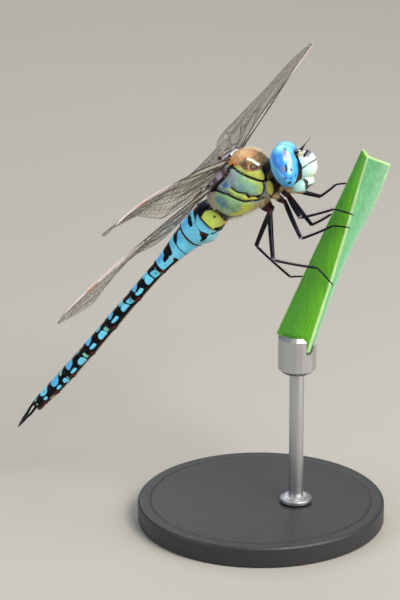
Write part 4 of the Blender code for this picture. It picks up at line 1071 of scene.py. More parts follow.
# The frons and clypeus are one boxy dome with a raised seam across it and a dimple in front, and
# the other domes are plain: colours step where a coordinate passes a value.
def makeFace():
    look, finish = facePaint, "chitin_face_enamel"
    rings, points, tint, ahead, left, up = headDome("frons", look["mint"])
    nearSeam = chainDistance(points, roundCorners(look["suture"], False))
    away = np.abs(left)
    paint(tint, ease(away, 1.0, 2.1) * 0.8, look["shade"])
    paint(tint, ease(up, 1.2, 1.5) * (1 - ease(ahead, 2.15, 2.5)) * 0.85, look["tan"])
    plan = points[:, [1, 0]]
    # A painted sheen: a greyish-violet reflection on the face in front of the T's bar.
    paint(tint, patchMask(plan, look["paintedSheenBand"], 0.06) * ease(up, 0.8, 1.0), look["paintedVioletSheen"])
    paint(tint, patchMask(plan, look["bar"], 0.05) * ease(up, 0.8, 1.0), look["ink"])
    paint(tint, bell(left, 0, 0.22) * ease(up, 1.6, 1.7) * (ahead < 2.7), look["ink"])
    paint(tint, 1 - ease(nearSeam, 0.07, 0.13), look["seam"])
    paint(tint, ease(-up, 1.3, 1.5) * (1 - ease(away, 1.0, 1.6)) * ease(ahead, 2.2, 2.5), look["yellow"])
    mirrored = np.stack([ahead, away, up], 1)
    paint(tint, 1 - ease(chainDistance(mirrored, look["margin"]), 0.3, 0.38), look["ink"])
    moved = points + unit(np.array([1.5, 0, 0]) - points) * (0.09 * np.exp(-(nearSeam / 0.12) ** 2))[:, None]
    moved[:, 0] -= 0.1 * bell(left, 0, 0.35) * bell(up, 1.9, 0.6)
    makeHeadPiece("face_frons", rings, moved, finish, "face", tint)

    rings, points, tint, ahead, left, up = headDome("labrum", look["mint"])
    paint(tint, ease(-up, 2.5, 2.8), look["ink"])
    paint(tint, ease(np.abs(left), 1.38, 1.5), look["ink"])
    makeHeadPiece("labrum", rings, points, finish, "labrum", tint)

    for side in ("right", "left"):
        rings, points, tint, ahead, left, up = headDome(f"mandible_{side}", look["turquoise"])
        paint(tint, ease(-up, 3.2, 3.45), look["rust"])
        paint(tint, ease(ahead, 1.62, 1.8), look["gap"])
        paint(tint, ease(ripple(points, 0.8), 0.3, 0.9) * 0.3, look["sea"])
        makeHeadPiece(f"mandible_base_{side}", rings, points, finish, f"mandible_{side}", tint)

    rings, points, tint, ahead, left, up = headDome("labium", look["lip"])
    paint(tint, lineMask(points[:, :2], ((1.9, 0.0), (0.9, 0.0), (0.4, 0.0)), 0.12, 0.05), look["cleft"])
    paint(tint, lineMask(np.abs(points[:, :2]), ((0.3, 0.2), (0.9, 1.3)), 0.1, 0.05), look["fold"])
    makeHeadPiece("labium_plate", rings, points, finish, "labium", tint)

    rings, points, tint, ahead, left, up = headDome("back", look["nape"])
    paint(tint, ease(np.abs(left), 1.6, 2.3) * ease(-ahead, 0.6, 1.2), look["temple"])
    paint(tint, ease(-up, 1.9, 2.6), look["cheek"])
    makeHeadPiece("head_back", rings, points, "chitin_black_polished", "head", tint)

    rings, points, tint, ahead, left, up = headDome("vertex", look["ink"])
    for *place, size in headDomes["ocelli"]:
        near = farFrom(points, place)
        paint(tint, 1 - ease(near, size * 0.8, size * 1.2), look["ocellus"])
        knob = 0.1 * bell(near, 0, size)
        points = points + unit(points - np.array([1.4, 0, 1.82])) * knob[:, None]
    makeHeadPiece("vertex_ocelli", rings, points, finish, "vertex", tint)


antennae = {"root": (1.85, 0.5, 2.05), "bend": (2.2, 0.65, 2.42), "tip": (3.35, 0.8, 3.4),
            "radii": ((0, 0.15), (0.1, 0.16), (0.14, 0.11), (0.3, 0.11), (0.34, 0.055), (0.6, 0.04),
                      (1, 0.018)),
            "count": 90, "around": 16, "colour": "#0f0c14"}


# Rings carried along a path: each ring lies across the path, its two spokes turned as little as
# possible from one ring to the next, and a radius for each ring.
def tubeRings(path, radii, around, flatten=1.0):
    path = np.asarray(path, float)
    way = unit(np.gradient(path, axis=0))
    steady = np.array([0.0, 0.0, 1.0]) if abs(way[0][2]) < 0.85 else np.array([1.0, 0.0, 0.0])
    side = unit(np.cross(way, steady))
    other = np.cross(side, way)
    angle = np.arange(around) * 2 * np.pi / around
    spokes = side[:, None, :] * np.cos(angle)[:, None] + other[:, None, :] * np.sin(angle)[:, None] * flatten
    return path[:, None, :] + spokes * np.asarray(radii)[:, None, None]


# A smooth path through a few points: each coordinate follows its own curve over the shares of length.
def pathThrough(points, count):
    points = np.asarray(points, float)
    reach = np.concatenate([[0], np.cumsum(np.linalg.norm(np.diff(points, axis=0), axis=1))])
    at = np.linspace(0, reach[-1], count)
    return np.stack([curveThrough(at, reach, points[:, k]) for k in range(3)], axis=1)


# Each feeler has two thick joints at its root and a bristle that thins to its tip.
def makeAntennae():
    for name, hand in (("antenna_right", -1), ("antenna_left", 1)):
        points = [np.array(antennae[key]) * (1, hand, 1) for key in ("root", "bend", "tip")]
        path = fromHead(pathThrough(points, antennae["count"]))
        radii = curveThrough(np.linspace(0, 1, antennae["count"]), *zip(*antennae["radii"]))
        parts = shell(tubeRings(path, radii, antennae["around"]))
        tint = plainTint(antennae["colour"], parts[0])
        makePiece(f"{name}_bristle", parts, "chitin_black_polished", (name,), tint)


makeEye("eye_right", -1)
makeEye("eye_left", 1)
makeFace()
makeAntennae()
print("head made")


wings = {
    # bow: how far the middle rises, and how far it rises more at two thirds of the span; pitch: the
    # chord's turn, in degrees, at each share of the span in turn; filmFrom: where its film starts
    "wing_front_right": {
        "hinge": (4.7, -2.75, 20.7), "tip": (6.6, -43.2, 26.4), "bow": (0.3, 0.45),
        "turn": (0, 0.33, 0.4, 0.47, 0.9, 1), "pitch": (56, 56, 48, 40.5, 41.5, 49),
        "plan": "front", "filmFrom": 0.55, "seed": 3},
    "wing_front_left": {
        "hinge": (4, 2.75, 20.5), "tip": (1.4, 43.2, 25.6), "bow": (0.3, 0),
        "turn": (0, 0.16, 0.34, 0.46, 0.64, 0.8, 1), "pitch": (28, 26, 31, 35.5, 39.5, 42, 41),
        "plan": "front", "filmFrom": 0.55, "seed": 5},
    "wing_hind_right": {
        "hinge": (2.9, -2.85, 17.3), "tip": (-1.8, -41.3, 12.7), "bow": (0.55, -0.3),
        "turn": (0, 0.1, 0.24, 0.4, 0.52, 0.64, 0.8, 1),
        "pitch": (50.5, 50, 46, 47.5, 50.5, 54.5, 53.5, 52.5),
        "plan": "hind", "filmFrom": 0.55, "seed": 7},
    "wing_hind_left": {
        "hinge": (2.8, 2.85, 17.4), "tip": (-5.8, 40.6, 15.6), "bow": (0.3, 0),
        "turn": (0, 0.3, 0.46, 0.6, 0.8, 1), "pitch": (31, 33, 36.5, 39, 40.5, 38),
        "plan": "hind", "filmFrom": 0.45, "seed": 9},
}
wingPlan = {
    "nodus": 0.5, "lead": 1, "tipFrom": 0.86, "tipSweep": 2.6,
    "membrane": 0.03, "pleat": 0.22, "cell": 0.82, "fine": 0.022, "front": {
        "span": (0, 0.05, 0.13, 0.28, 0.45, 0.62, 0.78, 0.89, 0.96, 1),
        "chord": (1.9, 4, 5.8, 7.5, 8.5, 8.8, 8.2, 6.6, 4.2, 1),
        # long veins: shares of the chord at shares of the span, in order from the leading edge
        "veins": (((0, 0.3), (0.1, 0.15), (0.3, 0.12), (0.5, 0.085), (0.8, 0.085), (0.93, 0.13), (1, 0.4)),
                  ((0, 0.3), (0.16, 0.14), (0.3, 0.19), (0.5, 0.2), (0.8, 0.25), (0.94, 0.42), (1, 0.7)),
                  ((0, 0.32), (0.2, 0.17), (0.35, 0.3), (0.6, 0.38), (0.8, 0.5), (0.93, 0.75), (0.97, 1)),
                  ((0, 0.45), (0.12, 0.3), (0.3, 0.38), (0.6, 0.56), (0.8, 0.8), (0.88, 1)),
                  ((0, 0.47), (0.12, 0.33), (0.25, 0.5), (0.45, 0.72), (0.62, 1)),
                  ((0, 0.65), (0.1, 0.55), (0.2, 0.7), (0.36, 1)))},
    "hind": {
        "span": (0, 0.03, 0.08, 0.16, 0.28, 0.45, 0.62, 0.78, 0.89, 0.96, 1),
        "chord": (2.4, 6.8, 9.9, 11.3, 11.5, 10.9, 9.9, 8.2, 6.3, 4, 1),
        "veins": (((0, 0.2), (0.1, 0.09), (0.3, 0.085), (0.5, 0.07), (0.8, 0.085), (0.93, 0.13), (1, 0.4)),
                  ((0, 0.2), (0.16, 0.09), (0.3, 0.14), (0.5, 0.17), (0.8, 0.25), (0.94, 0.42), (1, 0.7)),
                  ((0, 0.22), (0.18, 0.12), (0.35, 0.24), (0.6, 0.36), (0.8, 0.52), (0.93, 0.78), (0.97, 1)),
                  ((0, 0.32), (0.1, 0.2), (0.3, 0.33), (0.6, 0.58), (0.8, 0.86), (0.86, 1)),
                  ((0, 0.33), (0.1, 0.23), (0.25, 0.42), (0.45, 0.68), (0.62, 1)),
                  ((0, 0.4), (0.08, 0.32), (0.2, 0.52), (0.32, 0.78), (0.44, 1)),
                  ((0, 0.5), (0.06, 0.42), (0.14, 0.72), (0.22, 1)))},
    # the outer costa's pale pink is partly painted highlight, and the film's whitish pink is painted
    # highlight: the glare on the leading edge
    "brown": "#2a1d17", "outer": "#6f6358", "costaInner": "#2f2019", "costaOuter": "#c9b4b2",
    "stigma": "#a0705a", "membraneColour": "#b9b2a4", "membraneAlpha": 0.35,
    "filmColour": "#d2c4c6", "filmAlpha": 0.62, "blotch": "#5d4a3a",
    "rows": 130, "across": 44, "stigmaSpan": (0.835, 0.9),
    # vein radii: at the root, near it and at the tip; then one for each long vein and cross vein
    "costa": (0.14, 0.09, 0.06), "subcosta": (0.09, 0.06, 0.045), "margin": (0.028, 0.028, 0.024),
    "zigzag": (0.024, 0.022, 0.016), "long": (0.09, 0.05, 0.045, 0.055, 0.05, 0.045, 0.04),
    "cross": 0.028, "outerCross": 0.026, "nodusBar": 0.11,
}
wingRoots = {
    # struts: share of the chord they run to, their foot from the hinge (the middle number inwards),
    # thickness and colour
    "struts": ((0.02, (-0.3, -1.2, -0.5), 0.36, "#17101a"), (0.3, (-0.7, -1.1, -0.7), 0.32, "#4a3f50"),
               (0.55, (-1.2, -1, -0.6), 0.28, "#2a1a18"), (0.9, (-1.9, -0.9, -0.7), 0.26, "#8a6440")),
    "reach": 0.055, "taper": ((0, 0.35, 0.7, 1), (0.8, 1, 0.55, 0.22)), "strutDark": "#17101a",
    # knobs: place from the hinge, size and colour
    "knobs": (((0.1, -0.5, 0.25), 0.3, "#d8d4dc"), ((-0.7, -0.6, 0.05), 0.34, "#1a131c"),
              ((-1.3, -0.7, -0.25), 0.3, "#8a7f90"), ((-1.9, -0.8, -0.5), 0.26, "#2b1e22")),
    "knobHalf": (1.3, 0.8, 0.7), "knobDark": "#140e16",
}


# A place on a wing from its share of the span and of the chord: the hinge line with a small bow,
# the chord turned about it by the pitch, which follows its own curve along the span, and pleats
# between the veins that flatten towards the tip.
def wingPoint(wing, t, share, lift=0.0):
    plan = wingPlan[wing["plan"]]
    hinge, tip = np.array(wing["hinge"]), np.array(wing["tip"])
    span = np.linalg.norm(tip - hinge)
    out = (tip - hinge) / span
    forward = unit(np.array([1.0, 0, 0]) - out * out[0])
    above = np.cross(out, forward)
    above = above * np.sign(above[2])
    t, share = np.broadcast_arrays(np.asarray(t, float), np.asarray(share, float))
    pitch = np.radians(curveThrough(t, wing["turn"], wing["pitch"]))[..., None]
    chord = curveThrough(t, plan["span"], plan["chord"])
    sweep = np.clip((t - wingPlan["tipFrom"]) / (1 - wingPlan["tipFrom"]), 0, 1)
    lead = wingPlan["lead"] - wingPlan["tipSweep"] * sweep**2
    pleats = (bell(share, 0, 0.03) - 0.9 * bell(share, 0.055, 0.025) + 0.8 * bell(share, 0.11, 0.03)
              - 0.5 * bell(share, 0.19, 0.05) + 0.3 * np.sin(share * 24) * ease(share, 0.22, 0.35))
    height = wingPlan["pleat"] * pleats * (1 - 0.7 * t) * ease(t, 0.0, 0.08) + lift
    along = np.cos(pitch) * forward + np.sin(pitch) * above
    normal = -np.sin(pitch) * forward + np.cos(pitch) * above
    rise = 4 * wing["bow"][0] * t * (1 - t) + 6.75 * wing["bow"][1] * t**2 * (1 - t)
    middle = hinge + (t * span)[..., None] * out + rise[..., None] * above
    return middle + along * (lead - chord * share)[..., None] + normal * height[..., None]


# A closed slab from rings that run along one face and back along the other, its two ends closed
# by strips across the thickness.
def slab(rings):
    rows, around = rings.shape[:2]
    quads, _ = shellFaces(rows, around)
    j = np.arange(around // 2 - 1)
    cap = np.stack([j, around - 1 - j, around - 2 - j, j + 1], 1)
    quads = np.vstack([quads, cap, cap[:, ::-1] + (rows - 1) * around])
    return outward(rings.reshape(-1, 3), quads, np.zeros((0, 3), int))


# Thin four-sided rods between many pairs of points at once, each tapering by its own radii.
def rods(starts, ends, radii):
    way = unit(ends - starts + 1e-9)
    side = unit(np.cross(way, (0.31, 0.22, 0.93)))
    other = np.cross(side, way)
    spokes = np.stack([side, other, -side, -other], 1)
    low = starts[:, None, :] + spokes * radii[:, None, None]
    high = ends[:, None, :] + spokes * radii[:, None, None]
    points = np.concatenate([low, high], 1).reshape(-1, 3)
    base = (np.arange(len(starts)) * 8)[:, None, None]
    faces = np.array([[0, 1, 5, 4], [1, 2, 6, 5], [2, 3, 7, 6], [3, 0, 4, 7], [3, 2, 1, 0], [4, 5, 6, 7]])
    return points, (base + faces[:, ::-1]).reshape(-1, 4), np.zeros((0, 3), int)


# The net of veins: the long veins as tubes, and between each pair of neighbours rows of cells.
# Where a gap is wider than a cell and a third, a zigzag vein splits it and both halves are filled
# the same way; where it is narrower, cross veins bridge it, one cell length apart.
def wingNet(wing):
    plan = wingPlan[wing["plan"]]
    random = np.random.default_rng(wing["seed"])
    span = np.linalg.norm(np.array(wing["tip"]) - np.array(wing["hinge"]))
    t = np.linspace(0.0, 1.0, 500)
    chord = curveThrough(t, plan["span"], plan["chord"])
    cell, fine = wingPlan["cell"], wingPlan["fine"]
    tubes, starts, ends, radii = [], [], [], []

    def tube(low, high, share, thick, sides=5):
        count = max(4, int((high - low) * span / 0.45))
        at = np.linspace(low, high, count)
        thickness = np.interp(at, (0, 0.15, 1), thick)
        path = wingPoint(wing, at, np.interp(at, t, share))
        tubes.append(shell(tubeRings(path, thickness, sides)))

    def bridge(low, high, upper, lower, thick):
        at = low
        while at < high:
            gap = (np.interp(at, t, lower) - np.interp(at, t, upper)) * np.interp(at, t, chord)
            if gap > 0.22:
                lean = random.normal(0, 0.1) * gap / span
                starts.append(wingPoint(wing, at, np.interp(at, t, upper)))
                ends.append(wingPoint(wing, at + lean, np.interp(at + lean, t, lower)))
                radii.append(thick)
            at += (0.62 + 0.42 * min(gap, cell)) * (1 + random.normal(0, 0.12)) / span * cell / 0.82

    def fill(low, high, upper, lower, depth):
        inside = (t >= low) & (t <= high)
        gap = (lower - upper) * chord
        wide = inside & (gap > 1.38 * cell)
        if depth > 4 or wide.sum() < 8:
            bridge(low + random.uniform(0, 0.5) * cell / span, high, upper, lower, fine)
            return
        first, last = t[wide][0], t[wide][-1]
        zigzag = np.abs(((t * span / (1.1 * cell) + random.uniform()) % 2) - 1) - 0.5
        middle = (upper + lower) / 2 + zigzag * 0.26 * cell / chord * (gap > 1.38 * cell)
        tube(first, last, middle, wingPlan["zigzag"], 4)
        for edge in (first, last):
            starts.append(wingPoint(wing, edge, np.interp(edge, t, upper)))
            ends.append(wingPoint(wing, edge, np.interp(edge, t, lower)))
            radii.append(fine)
        fill(first, last, upper, middle, depth + 1)
        fill(first, last, middle, lower, depth + 1)
        bridge(low, first, upper, lower, fine)
        bridge(last, high, upper, lower, fine)

    costa = np.zeros_like(t)
    lines = [np.clip(np.interp(t, *zip(*vein)), 0, 1) for vein in plan["veins"]]
    nodus = wingPlan["nodus"]
    radius = lines[0]
    subcosta = radius * np.interp(t, (0, 0.3, 0.46, nodus), (0.55, 0.5, 0.35, 0.0))
    tube(0.0, 0.997, costa, wingPlan["costa"], 8)
    tube(0.0, nodus, subcosta, wingPlan["subcosta"], 6)
    margin = np.ones_like(t)
    tube(0.02, 0.997, margin, wingPlan["margin"], 5)
    for line, thick in zip(lines, wingPlan["long"]):
        reach = t[line < 0.995][-1] if (line < 0.995).any() else 1.0
        tube(0.0, min(reach, 0.995), line, (thick * 1.35, thick, thick * 0.5), 6)
    bridge(0.04, nodus, costa, subcosta, wingPlan["cross"])
    bridge(0.04, nodus, subcosta, radius, wingPlan["cross"])
    bridge(nodus + 0.02, 0.97, costa, radius, wingPlan["outerCross"])
    for upper, lower in zip(lines, lines[1:] + [margin]):
        end = t[upper < 0.99][-1]
        fill(0.05, min(end, 0.985), upper, lower, 0)
    # the nodus: a short thick bar where the leading edge has its joint
    starts.append(wingPoint(wing, nodus, 0.0))
    ends.append(wingPoint(wing, nodus, float(np.interp(nodus, t, radius))))
    radii.append(wingPlan["nodusBar"])
    net = tubes + [rods(np.array(starts), np.array(ends), np.array(radii))]
    return joinShells(net), radius, t


# Dried wing membrane: two skins of clear chitin, so it shows as a pale glaze with a slow ripple.
# The film along the outer leading edge is a painted highlight, a whitish-pink glare that thins out in places.
def wingMaterials():
    membrane, tree, shader, place = newMaterial("wing_membrane_clear_dry", {
        "Base Color": (*linear(wingPlan["membraneColour"]), 1), "Alpha": wingPlan["membraneAlpha"],
        "Roughness": 0.14, "IOR": 1.57})
    addGrain(tree, shader, place, 1.4, {}, 0.25)
    film, tree, shader, place = newMaterial("wing_costal_film_painted_glare", {
        "IOR": 1.5, "Base Color": (*linear(wingPlan["filmColour"]), 1)})
    alpha = wingPlan["filmAlpha"]
    addGrain(tree, shader, place, 0.8, {"Alpha": (alpha - 0.2, alpha + 0.2), "Roughness": (0.25, 0.45)})
    return membrane, film


# A thin slab on a wing between the leading edge and the radius vein, which lies at its own share of
# the chord: across runs from one to the other, and grow widens it from nothing at its inner end.
def frontSlab(wing, radius, t, rows, across, half, grow=1.0):
    inner = np.interp(rows, t, radius) * across * grow
    faces = [wingPoint(wing, rows, inner, half), wingPoint(wing, rows, inner[:, ::-1], -half)]
    return slab(np.concatenate(faces, 1))


# Each wing is a membrane, its net of veins coloured by place, a whitish film of painted highlight along
# the outer leading edge, and the pterostigma, the thick coloured cell near the tip.
def makeWings():
    look, (membrane, film) = wingPlan, wingMaterials()
    for name, wing in wings.items():
        shares = 0.5 - 0.5 * np.cos(np.linspace(0, np.pi, look["across"]))
        shares = 0.5 * shares + 0.5 * np.linspace(0, 1, look["across"])
        at = np.linspace(0.0, 1.0, look["rows"])[:, None]
        half = look["membrane"] / 2
        faces = [wingPoint(wing, at, shares, half), wingPoint(wing, at, shares, -half)[:, ::-1]]
        makePiece(f"{name}_membrane", slab(np.concatenate(faces, 1)), membrane, (name,))
        net, radius, t = wingNet(wing)
        points = net[0]
        hinge, tip = np.array(wing["hinge"]), np.array(wing["tip"])
        reach = np.linalg.norm(tip - hinge)
        spanShare = (points - hinge) @ (tip - hinge) / reach**2
        front = wingPoint(wing, np.clip(spanShare, 0, 1), 0.0)
        edge = 1 - ease(np.linalg.norm(points - front, axis=1), 0.12, 0.3)
        tint = plainTint(look["brown"], points)
        paint(tint, edge * (1 - ease(spanShare, 0.45, 0.65)), look["costaInner"])
        # pale pink on the outer leading edge: partly the costa's own pale colour, partly a painted highlight
        # of its glare
        paint(tint, edge * ease(spanShare, 0.5, 0.7), look["costaOuter"])
        paint(tint, ease(spanShare, 0.3, 0.7) * 0.65 * (1 - edge), look["outer"])
        blotch = ease(ripple(points, 5.0), 0.1, 0.8) * 0.3 * (1 - edge) * ease(spanShare, 0.1, 0.4)
        paint(tint, blotch, look["blotch"])
        makePiece(f"{name}_veins", net, "vein_chitin_brown", (name,), tint)
        start = wing["filmFrom"]
        rows = np.linspace(start, 0.985, 120)[:, None]
        grow = ease(rows, start, start + 0.2)
        parts = frontSlab(wing, radius, t, rows, np.linspace(0.02, 1.02, 9), 0.035, grow)
        makePiece(f"{name}_costal_film", parts, film, (name,))
        rows = np.linspace(*look["stigmaSpan"], 30)[:, None]
        parts = frontSlab(wing, radius, t, rows, np.linspace(0.04, 0.96, 9), 0.06)
        makePiece(f"{name}_pterostigma", parts, "vein_chitin_brown", (name,),
                  plainTint(look["stigma"], parts[0]))


# Small plates and stalks that carry each wing from the thorax: short tapered tubes from the side
# of the back to the first millimetres of the wing, with knobs at their feet.
def makeWingRoots():
    look = wingRoots
    for name, wing in wings.items():
        mirror = (1, 1 if wing["hinge"][1] > 0 else -1, 1)
        hinge = np.array(wing["hinge"])
        parts, tints = [], []

        def add(rings, code, size, low, high, strength, dark):
            parts.append(shell(rings))
            tints.append(plainTint(code, parts[-1][0]))
            paint(tints[-1], ease(ripple(parts[-1][0], size), low, high) * strength, dark)

        for share, foot, thick, colour in look["struts"]:
            end = wingPoint(wing, look["reach"], share)
            start = hinge + np.array(foot) * mirror
            path = pathThrough([start, 0.5 * start + 0.5 * end + np.array([0, 0, 0.18]), end], 26)
            radii = thick * np.interp(np.linspace(0, 1, 26), *look["taper"])
            add(tubeRings(path, radii, 14, 0.7), colour, 0.5, 0.1, 0.5, 0.7, look["strutDark"])
        for offset, size, colour in look["knobs"]:
            ball = domeRings((0, 0, 0), look["knobHalf"], 20, 12)
            ball = ball * size + (hinge + np.array(offset) * mirror)
            add(ball, colour, 0.6, 0.2, 0.6, 0.8, look["knobDark"])
        makePiece(f"{name}_root_plates", joinShells(parts), "chitin_thorax_leathery",
                  (), np.vstack(tints))


makeWings()
makeWingRoots()
print("wings made: membranes, vein nets and stigmas")


legs = {
    # hip, knee, end of the tibia, end of the foot
    "front_right": ((12.95, -1.1, 17.05), (15.6, -3.5, 14.8), (19.6, -1.5, 15.9), (21.86, -1.6, 15.56)),
    "front_left": ((12.95, 1.1, 17.05), (16, 3.5, 15.7), (18.9, 1.2, 18.4), (20.6, 0.75, 18.9)),
    "middle_right": ((12.45, -1, 16.1), (15.75, -3.5, 11.9), (19.4, -1.5, 13.5), (21.3, -1.45, 13.56)),
    "middle_left": ((12.45, 1, 16.1), (14.8, 3.5, 11.5), (18.1, 1.4, 14), (19.9, 0.8, 14.6)),
    "hind_right": ((10.25, -0.55, 14.5), (11.8, -3.5, 8.4), (17.3, -1.4, 7.3), (19.13, -1.2, 5.45)),
    "hind_left": ((10.25, 0.55, 14.5), (7.3, 2.2, 8), (12.6, 1.3, 4.5), (14.6, 0.75, 5)),
}
legLook = {
    "coxaTop": {"front": (12, 0.7, 17.9), "middle": (11.1, 1.3, 17), "hind": (8.9, 0.8, 15.4)},
    "coxa": ((0, 0.42), (0.3, 0.5), (0.7, 0.42), (0.88, 0.31), (1, 0.28)),
    "femur": ((0, 0.24), (0.08, 0.3), (0.3, 0.325), (0.8, 0.275), (0.93, 0.255), (0.975, 0.29), (1, 0.16)),
    "tibia": ((0, 0.15), (0.03, 0.2), (0.08, 0.175), (0.6, 0.16), (0.95, 0.16), (1, 0.13)),
    "foot": ((0, 0.12), (0.12, 0.13), (0.16, 0.095), (0.2, 0.125), (0.42, 0.125), (0.46, 0.09), (0.5, 0.12),
             (0.9, 0.115), (1, 0.08)),
    # spines: first and last share of the part, step, length, radius, lean towards the foot
    "spines": {"femur": (0.25, 0.96, 0.34, 0.28, 0.025, 0.6), "tibia": (0.06, 0.97, 0.38, 0.5, 0.026, 0.75),
               "foot": (0.08, 0.9, 0.28, 0.22, 0.018, 0.8)},
    "hindSwell": 1.12, "claw": 0.75, "clawTaper": ((0, 0.5, 1), (0.06, 0.045, 0.012)),
    "black": "#07050b", "sheen": "#241f38", "rust": "#431a14", "pale": "#a19cac", "hip": "#b39a72",
}
spineRoots = []     # root, direction, length, radius and map place of each spine, added as legs are made


# A straight run from start to end that bows aside by 4 * share * (1 - share) times the bow.
def legPath(start, end, bow, count):
    start, end, bow = np.array(start), np.array(end), np.array(bow)
    share = np.linspace(0, 1, count)[:, None]
    return start + (end - start) * share + bow * 4 * share * (1 - share)


# Rows of spines along part of a leg: roots step along the path and stand off it on two sides.
def addSpines(path, radii, strip, facing, low, high, step, length, thick, lean):
    total = np.linalg.norm(np.diff(path, axis=0), axis=1).sum()
    at = np.arange(low * total, high * total, step) / total
    share = np.linspace(0, 1, len(path))
    way = unit(path[-1] - path[0])
    for spread in (-0.55, 0.55):
        facingOut = unit(facing - way * (facing @ way))
        away = math.cos(spread) * facingOut + math.sin(spread) * np.cross(way, facingOut)
        for n, place in enumerate(at + (0.25 if spread > 0 else 0) * step / total):
            root = np.array([np.interp(place, share, path[:, k]) for k in range(3)])
            thickHere = float(np.interp(place, share, radii))
            aim = unit(away + way * lean)
            size = length * (0.85 + 0.25 * math.sin(2.4 * n + 3 * spread))
            mapPlace = (place, strip + spread * 0.01)
            spineRoots.append((root + away * thickHere * 0.7, aim, size, thick, mapPlace))


# Each leg is four tubes with rounded ends, the last with two curved claws.
def makeLegs():
    look, finish = legLook, "chitin_black_polished"
    for index, (name, (hip, knee, ankle, toe)) in enumerate(legs.items()):
        pair, sideName = name.split("_")
        hand = 1 if sideName == "left" else -1
        swell = look["hindSwell"] if pair == "hind" else 1.0
        top = np.array(look["coxaTop"][pair]) * (1, hand, 1)
        hip, knee, ankle, toe = (np.array(point) for point in (hip, knee, ankle, toe))
        bend = unit(knee - (hip + ankle) / 2)
        inside = -bend              # the hollow side of the knee, where the spines stand
        runs = {
            "coxa": (top, hip + 0.25 * unit(knee - hip), bend * 0.1, 40, 22),
            "femur": (hip - 0.1 * unit(knee - hip), knee, bend * 0.1, 120, 18),
            "tibia": (knee + 0.02 * unit(hip - knee), ankle, bend * 0.12, 110, 14),
            "foot": (ankle, toe, (0, 0, 0.05), 90, 14),
        }
        for part, (start, end, bow, count, around) in runs.items():
            stations, values = zip(*legLook[part])
            share = np.linspace(0, 1, count)
            radii = curveThrough(share, stations, values) * (swell if part in ("coxa", "femur") else 1)
            path = legPath(start, end, bow, count)
            cap = np.sqrt(np.clip(1 - (1 - np.minimum(share, 1 - share) * count / 2.5) ** 2, 0.05, 1))
            radii = radii * np.where(np.minimum(share, 1 - share) * count < 2.5, cap, 1)
            rings = tubeRings(path, radii, around)
            pieces = [shell(rings)]
            places = np.concatenate([np.repeat(share, around), [0, 1]])
            if part == "foot":
                way = unit(toe - ankle)
                down = unit(np.array([0.3, 0, -1.0]) - way * (way @ np.array([0.3, 0, -1.0])))
                for side in (-1, 1):
                    spread = np.cross(way, down) * side
                    s = np.linspace(0, 1, 16)[:, None]
                    curve = (toe - way * 0.08 + way * look["claw"] * np.sin(s * 1.35)
                             + down * 0.34 * (s**1.6 - 0.55 * s) * 1.6 + spread * 0.28 * s**0.7)
                    claw = shell(tubeRings(curve, np.interp(s[:, 0], *look["clawTaper"]), 7))
                    pieces.append(claw)
                    places = np.concatenate([places, np.ones(len(claw[0]))])
            parts = joinShells(pieces)
            tint = plainTint(look["black"], parts[0])
            # A painted sheen: soft bluish blotches standing in for the blue-violet reflection on the black.
            paint(tint, ease(ripple(parts[0], 2.3), 0, 0.9) * 0.35, look["sheen"])
            if part == "coxa":
                paint(tint, 1 - ease(places, 0.25, 0.55), look["hip"])
                paint(tint, bell(places, 0.78, 0.14) * 0.8, look["rust"])
            if part == "femur":
                paint(tint, (1 - ease(places, 0.05, 0.22)) * 0.9, look["rust"])
                paint(tint, bell(places, 0.985, 0.012) * 0.7, look["pale"])
            if part == "tibia":
                paint(tint, bell(places, 0.025, 0.02) * 0.5, look["pale"])
            makePiece(f"leg_{name}_{part}_shell", parts, finish, (f"leg_{name}_{part}",), tint)
            strip = (index * 4 + list(runs).index(part) + 0.5) / 24
            if part in look["spines"]:
                addSpines(path, radii, strip, inside, *look["spines"][part])


# Many thin hairs or spines as one mesh: each is a three-sided rod in two lengths that bends a
# little and ends in a point. The map OFBake puts each one's faces on a small patch at its root.
def makeCoat(name, roots, aims, lengths, radii, droop, uvPlaces, tints, finish):
    aims = unit(aims)
    side = unit(np.cross(aims, (0.27, 0.61, 0.35)))
    other = np.cross(aims, side)
    angle = np.arange(3) * 2 * np.pi / 3
    spokes = (side[:, None, :] * np.cos(angle)[:, None] + other[:, None, :] * np.sin(angle)[:, None])
    bend = np.array([0, 0, -1.0]) * droop
    middle = roots + aims * lengths[:, None] * 0.5 + bend * lengths[:, None] * 0.12
    tip = roots + aims * lengths[:, None] + bend * lengths[:, None] * 0.5
    low = roots[:, None, :] + spokes * radii[:, None, None]
    high = middle[:, None, :] + spokes * radii[:, None, None] * 0.62
    points = np.concatenate([low, high, tip[:, None, :]], 1).reshape(-1, 3)
    base = (np.arange(len(roots)) * 7)[:, None, None]
    quads = (base + np.array([[0, 1, 4, 3], [1, 2, 5, 4], [2, 0, 3, 5]])).reshape(-1, 4)
    fans = (base + np.array([[3, 4, 6], [4, 5, 6], [5, 3, 6], [2, 1, 0]])).reshape(-1, 3)
    piece = makePiece(name, (points, quads, fans), finish, (), np.repeat(tints, 7, axis=0))
    corner = np.concatenate([quads.ravel(), fans.ravel()])
    own = np.array([[0, 0], [0.5, 0], [1, 0], [0, 0.6], [0.5, 0.6], [1, 0.6], [0.5, 1]]) * 0.003
    uv = uvPlaces[corner // 7] + own[corner % 7]
    layer = piece.data.uv_layers.new(name="OFBake")
    layer.data.foreach_set("uv", np.clip(uv, 0, 1).astype(np.float32).ravel())
    return piece


# All the legs' spines as one coat.
def makeSpines():
    roots, aims, lengths, radii, places = (np.array(column) for column in zip(*spineRoots))
    tints = plainTint(legLook["black"], roots)
    makeCoat("coat_leg_spines", roots, aims, lengths, radii, 0, places, tints,
             "chitin_black_polished")


hairs = {"seed": 11, "front": 700, "belly": 900, "rear": 300, "length": (0.35, 0.75), "radius": 0.01,
         "pale": "#f0dfae"}


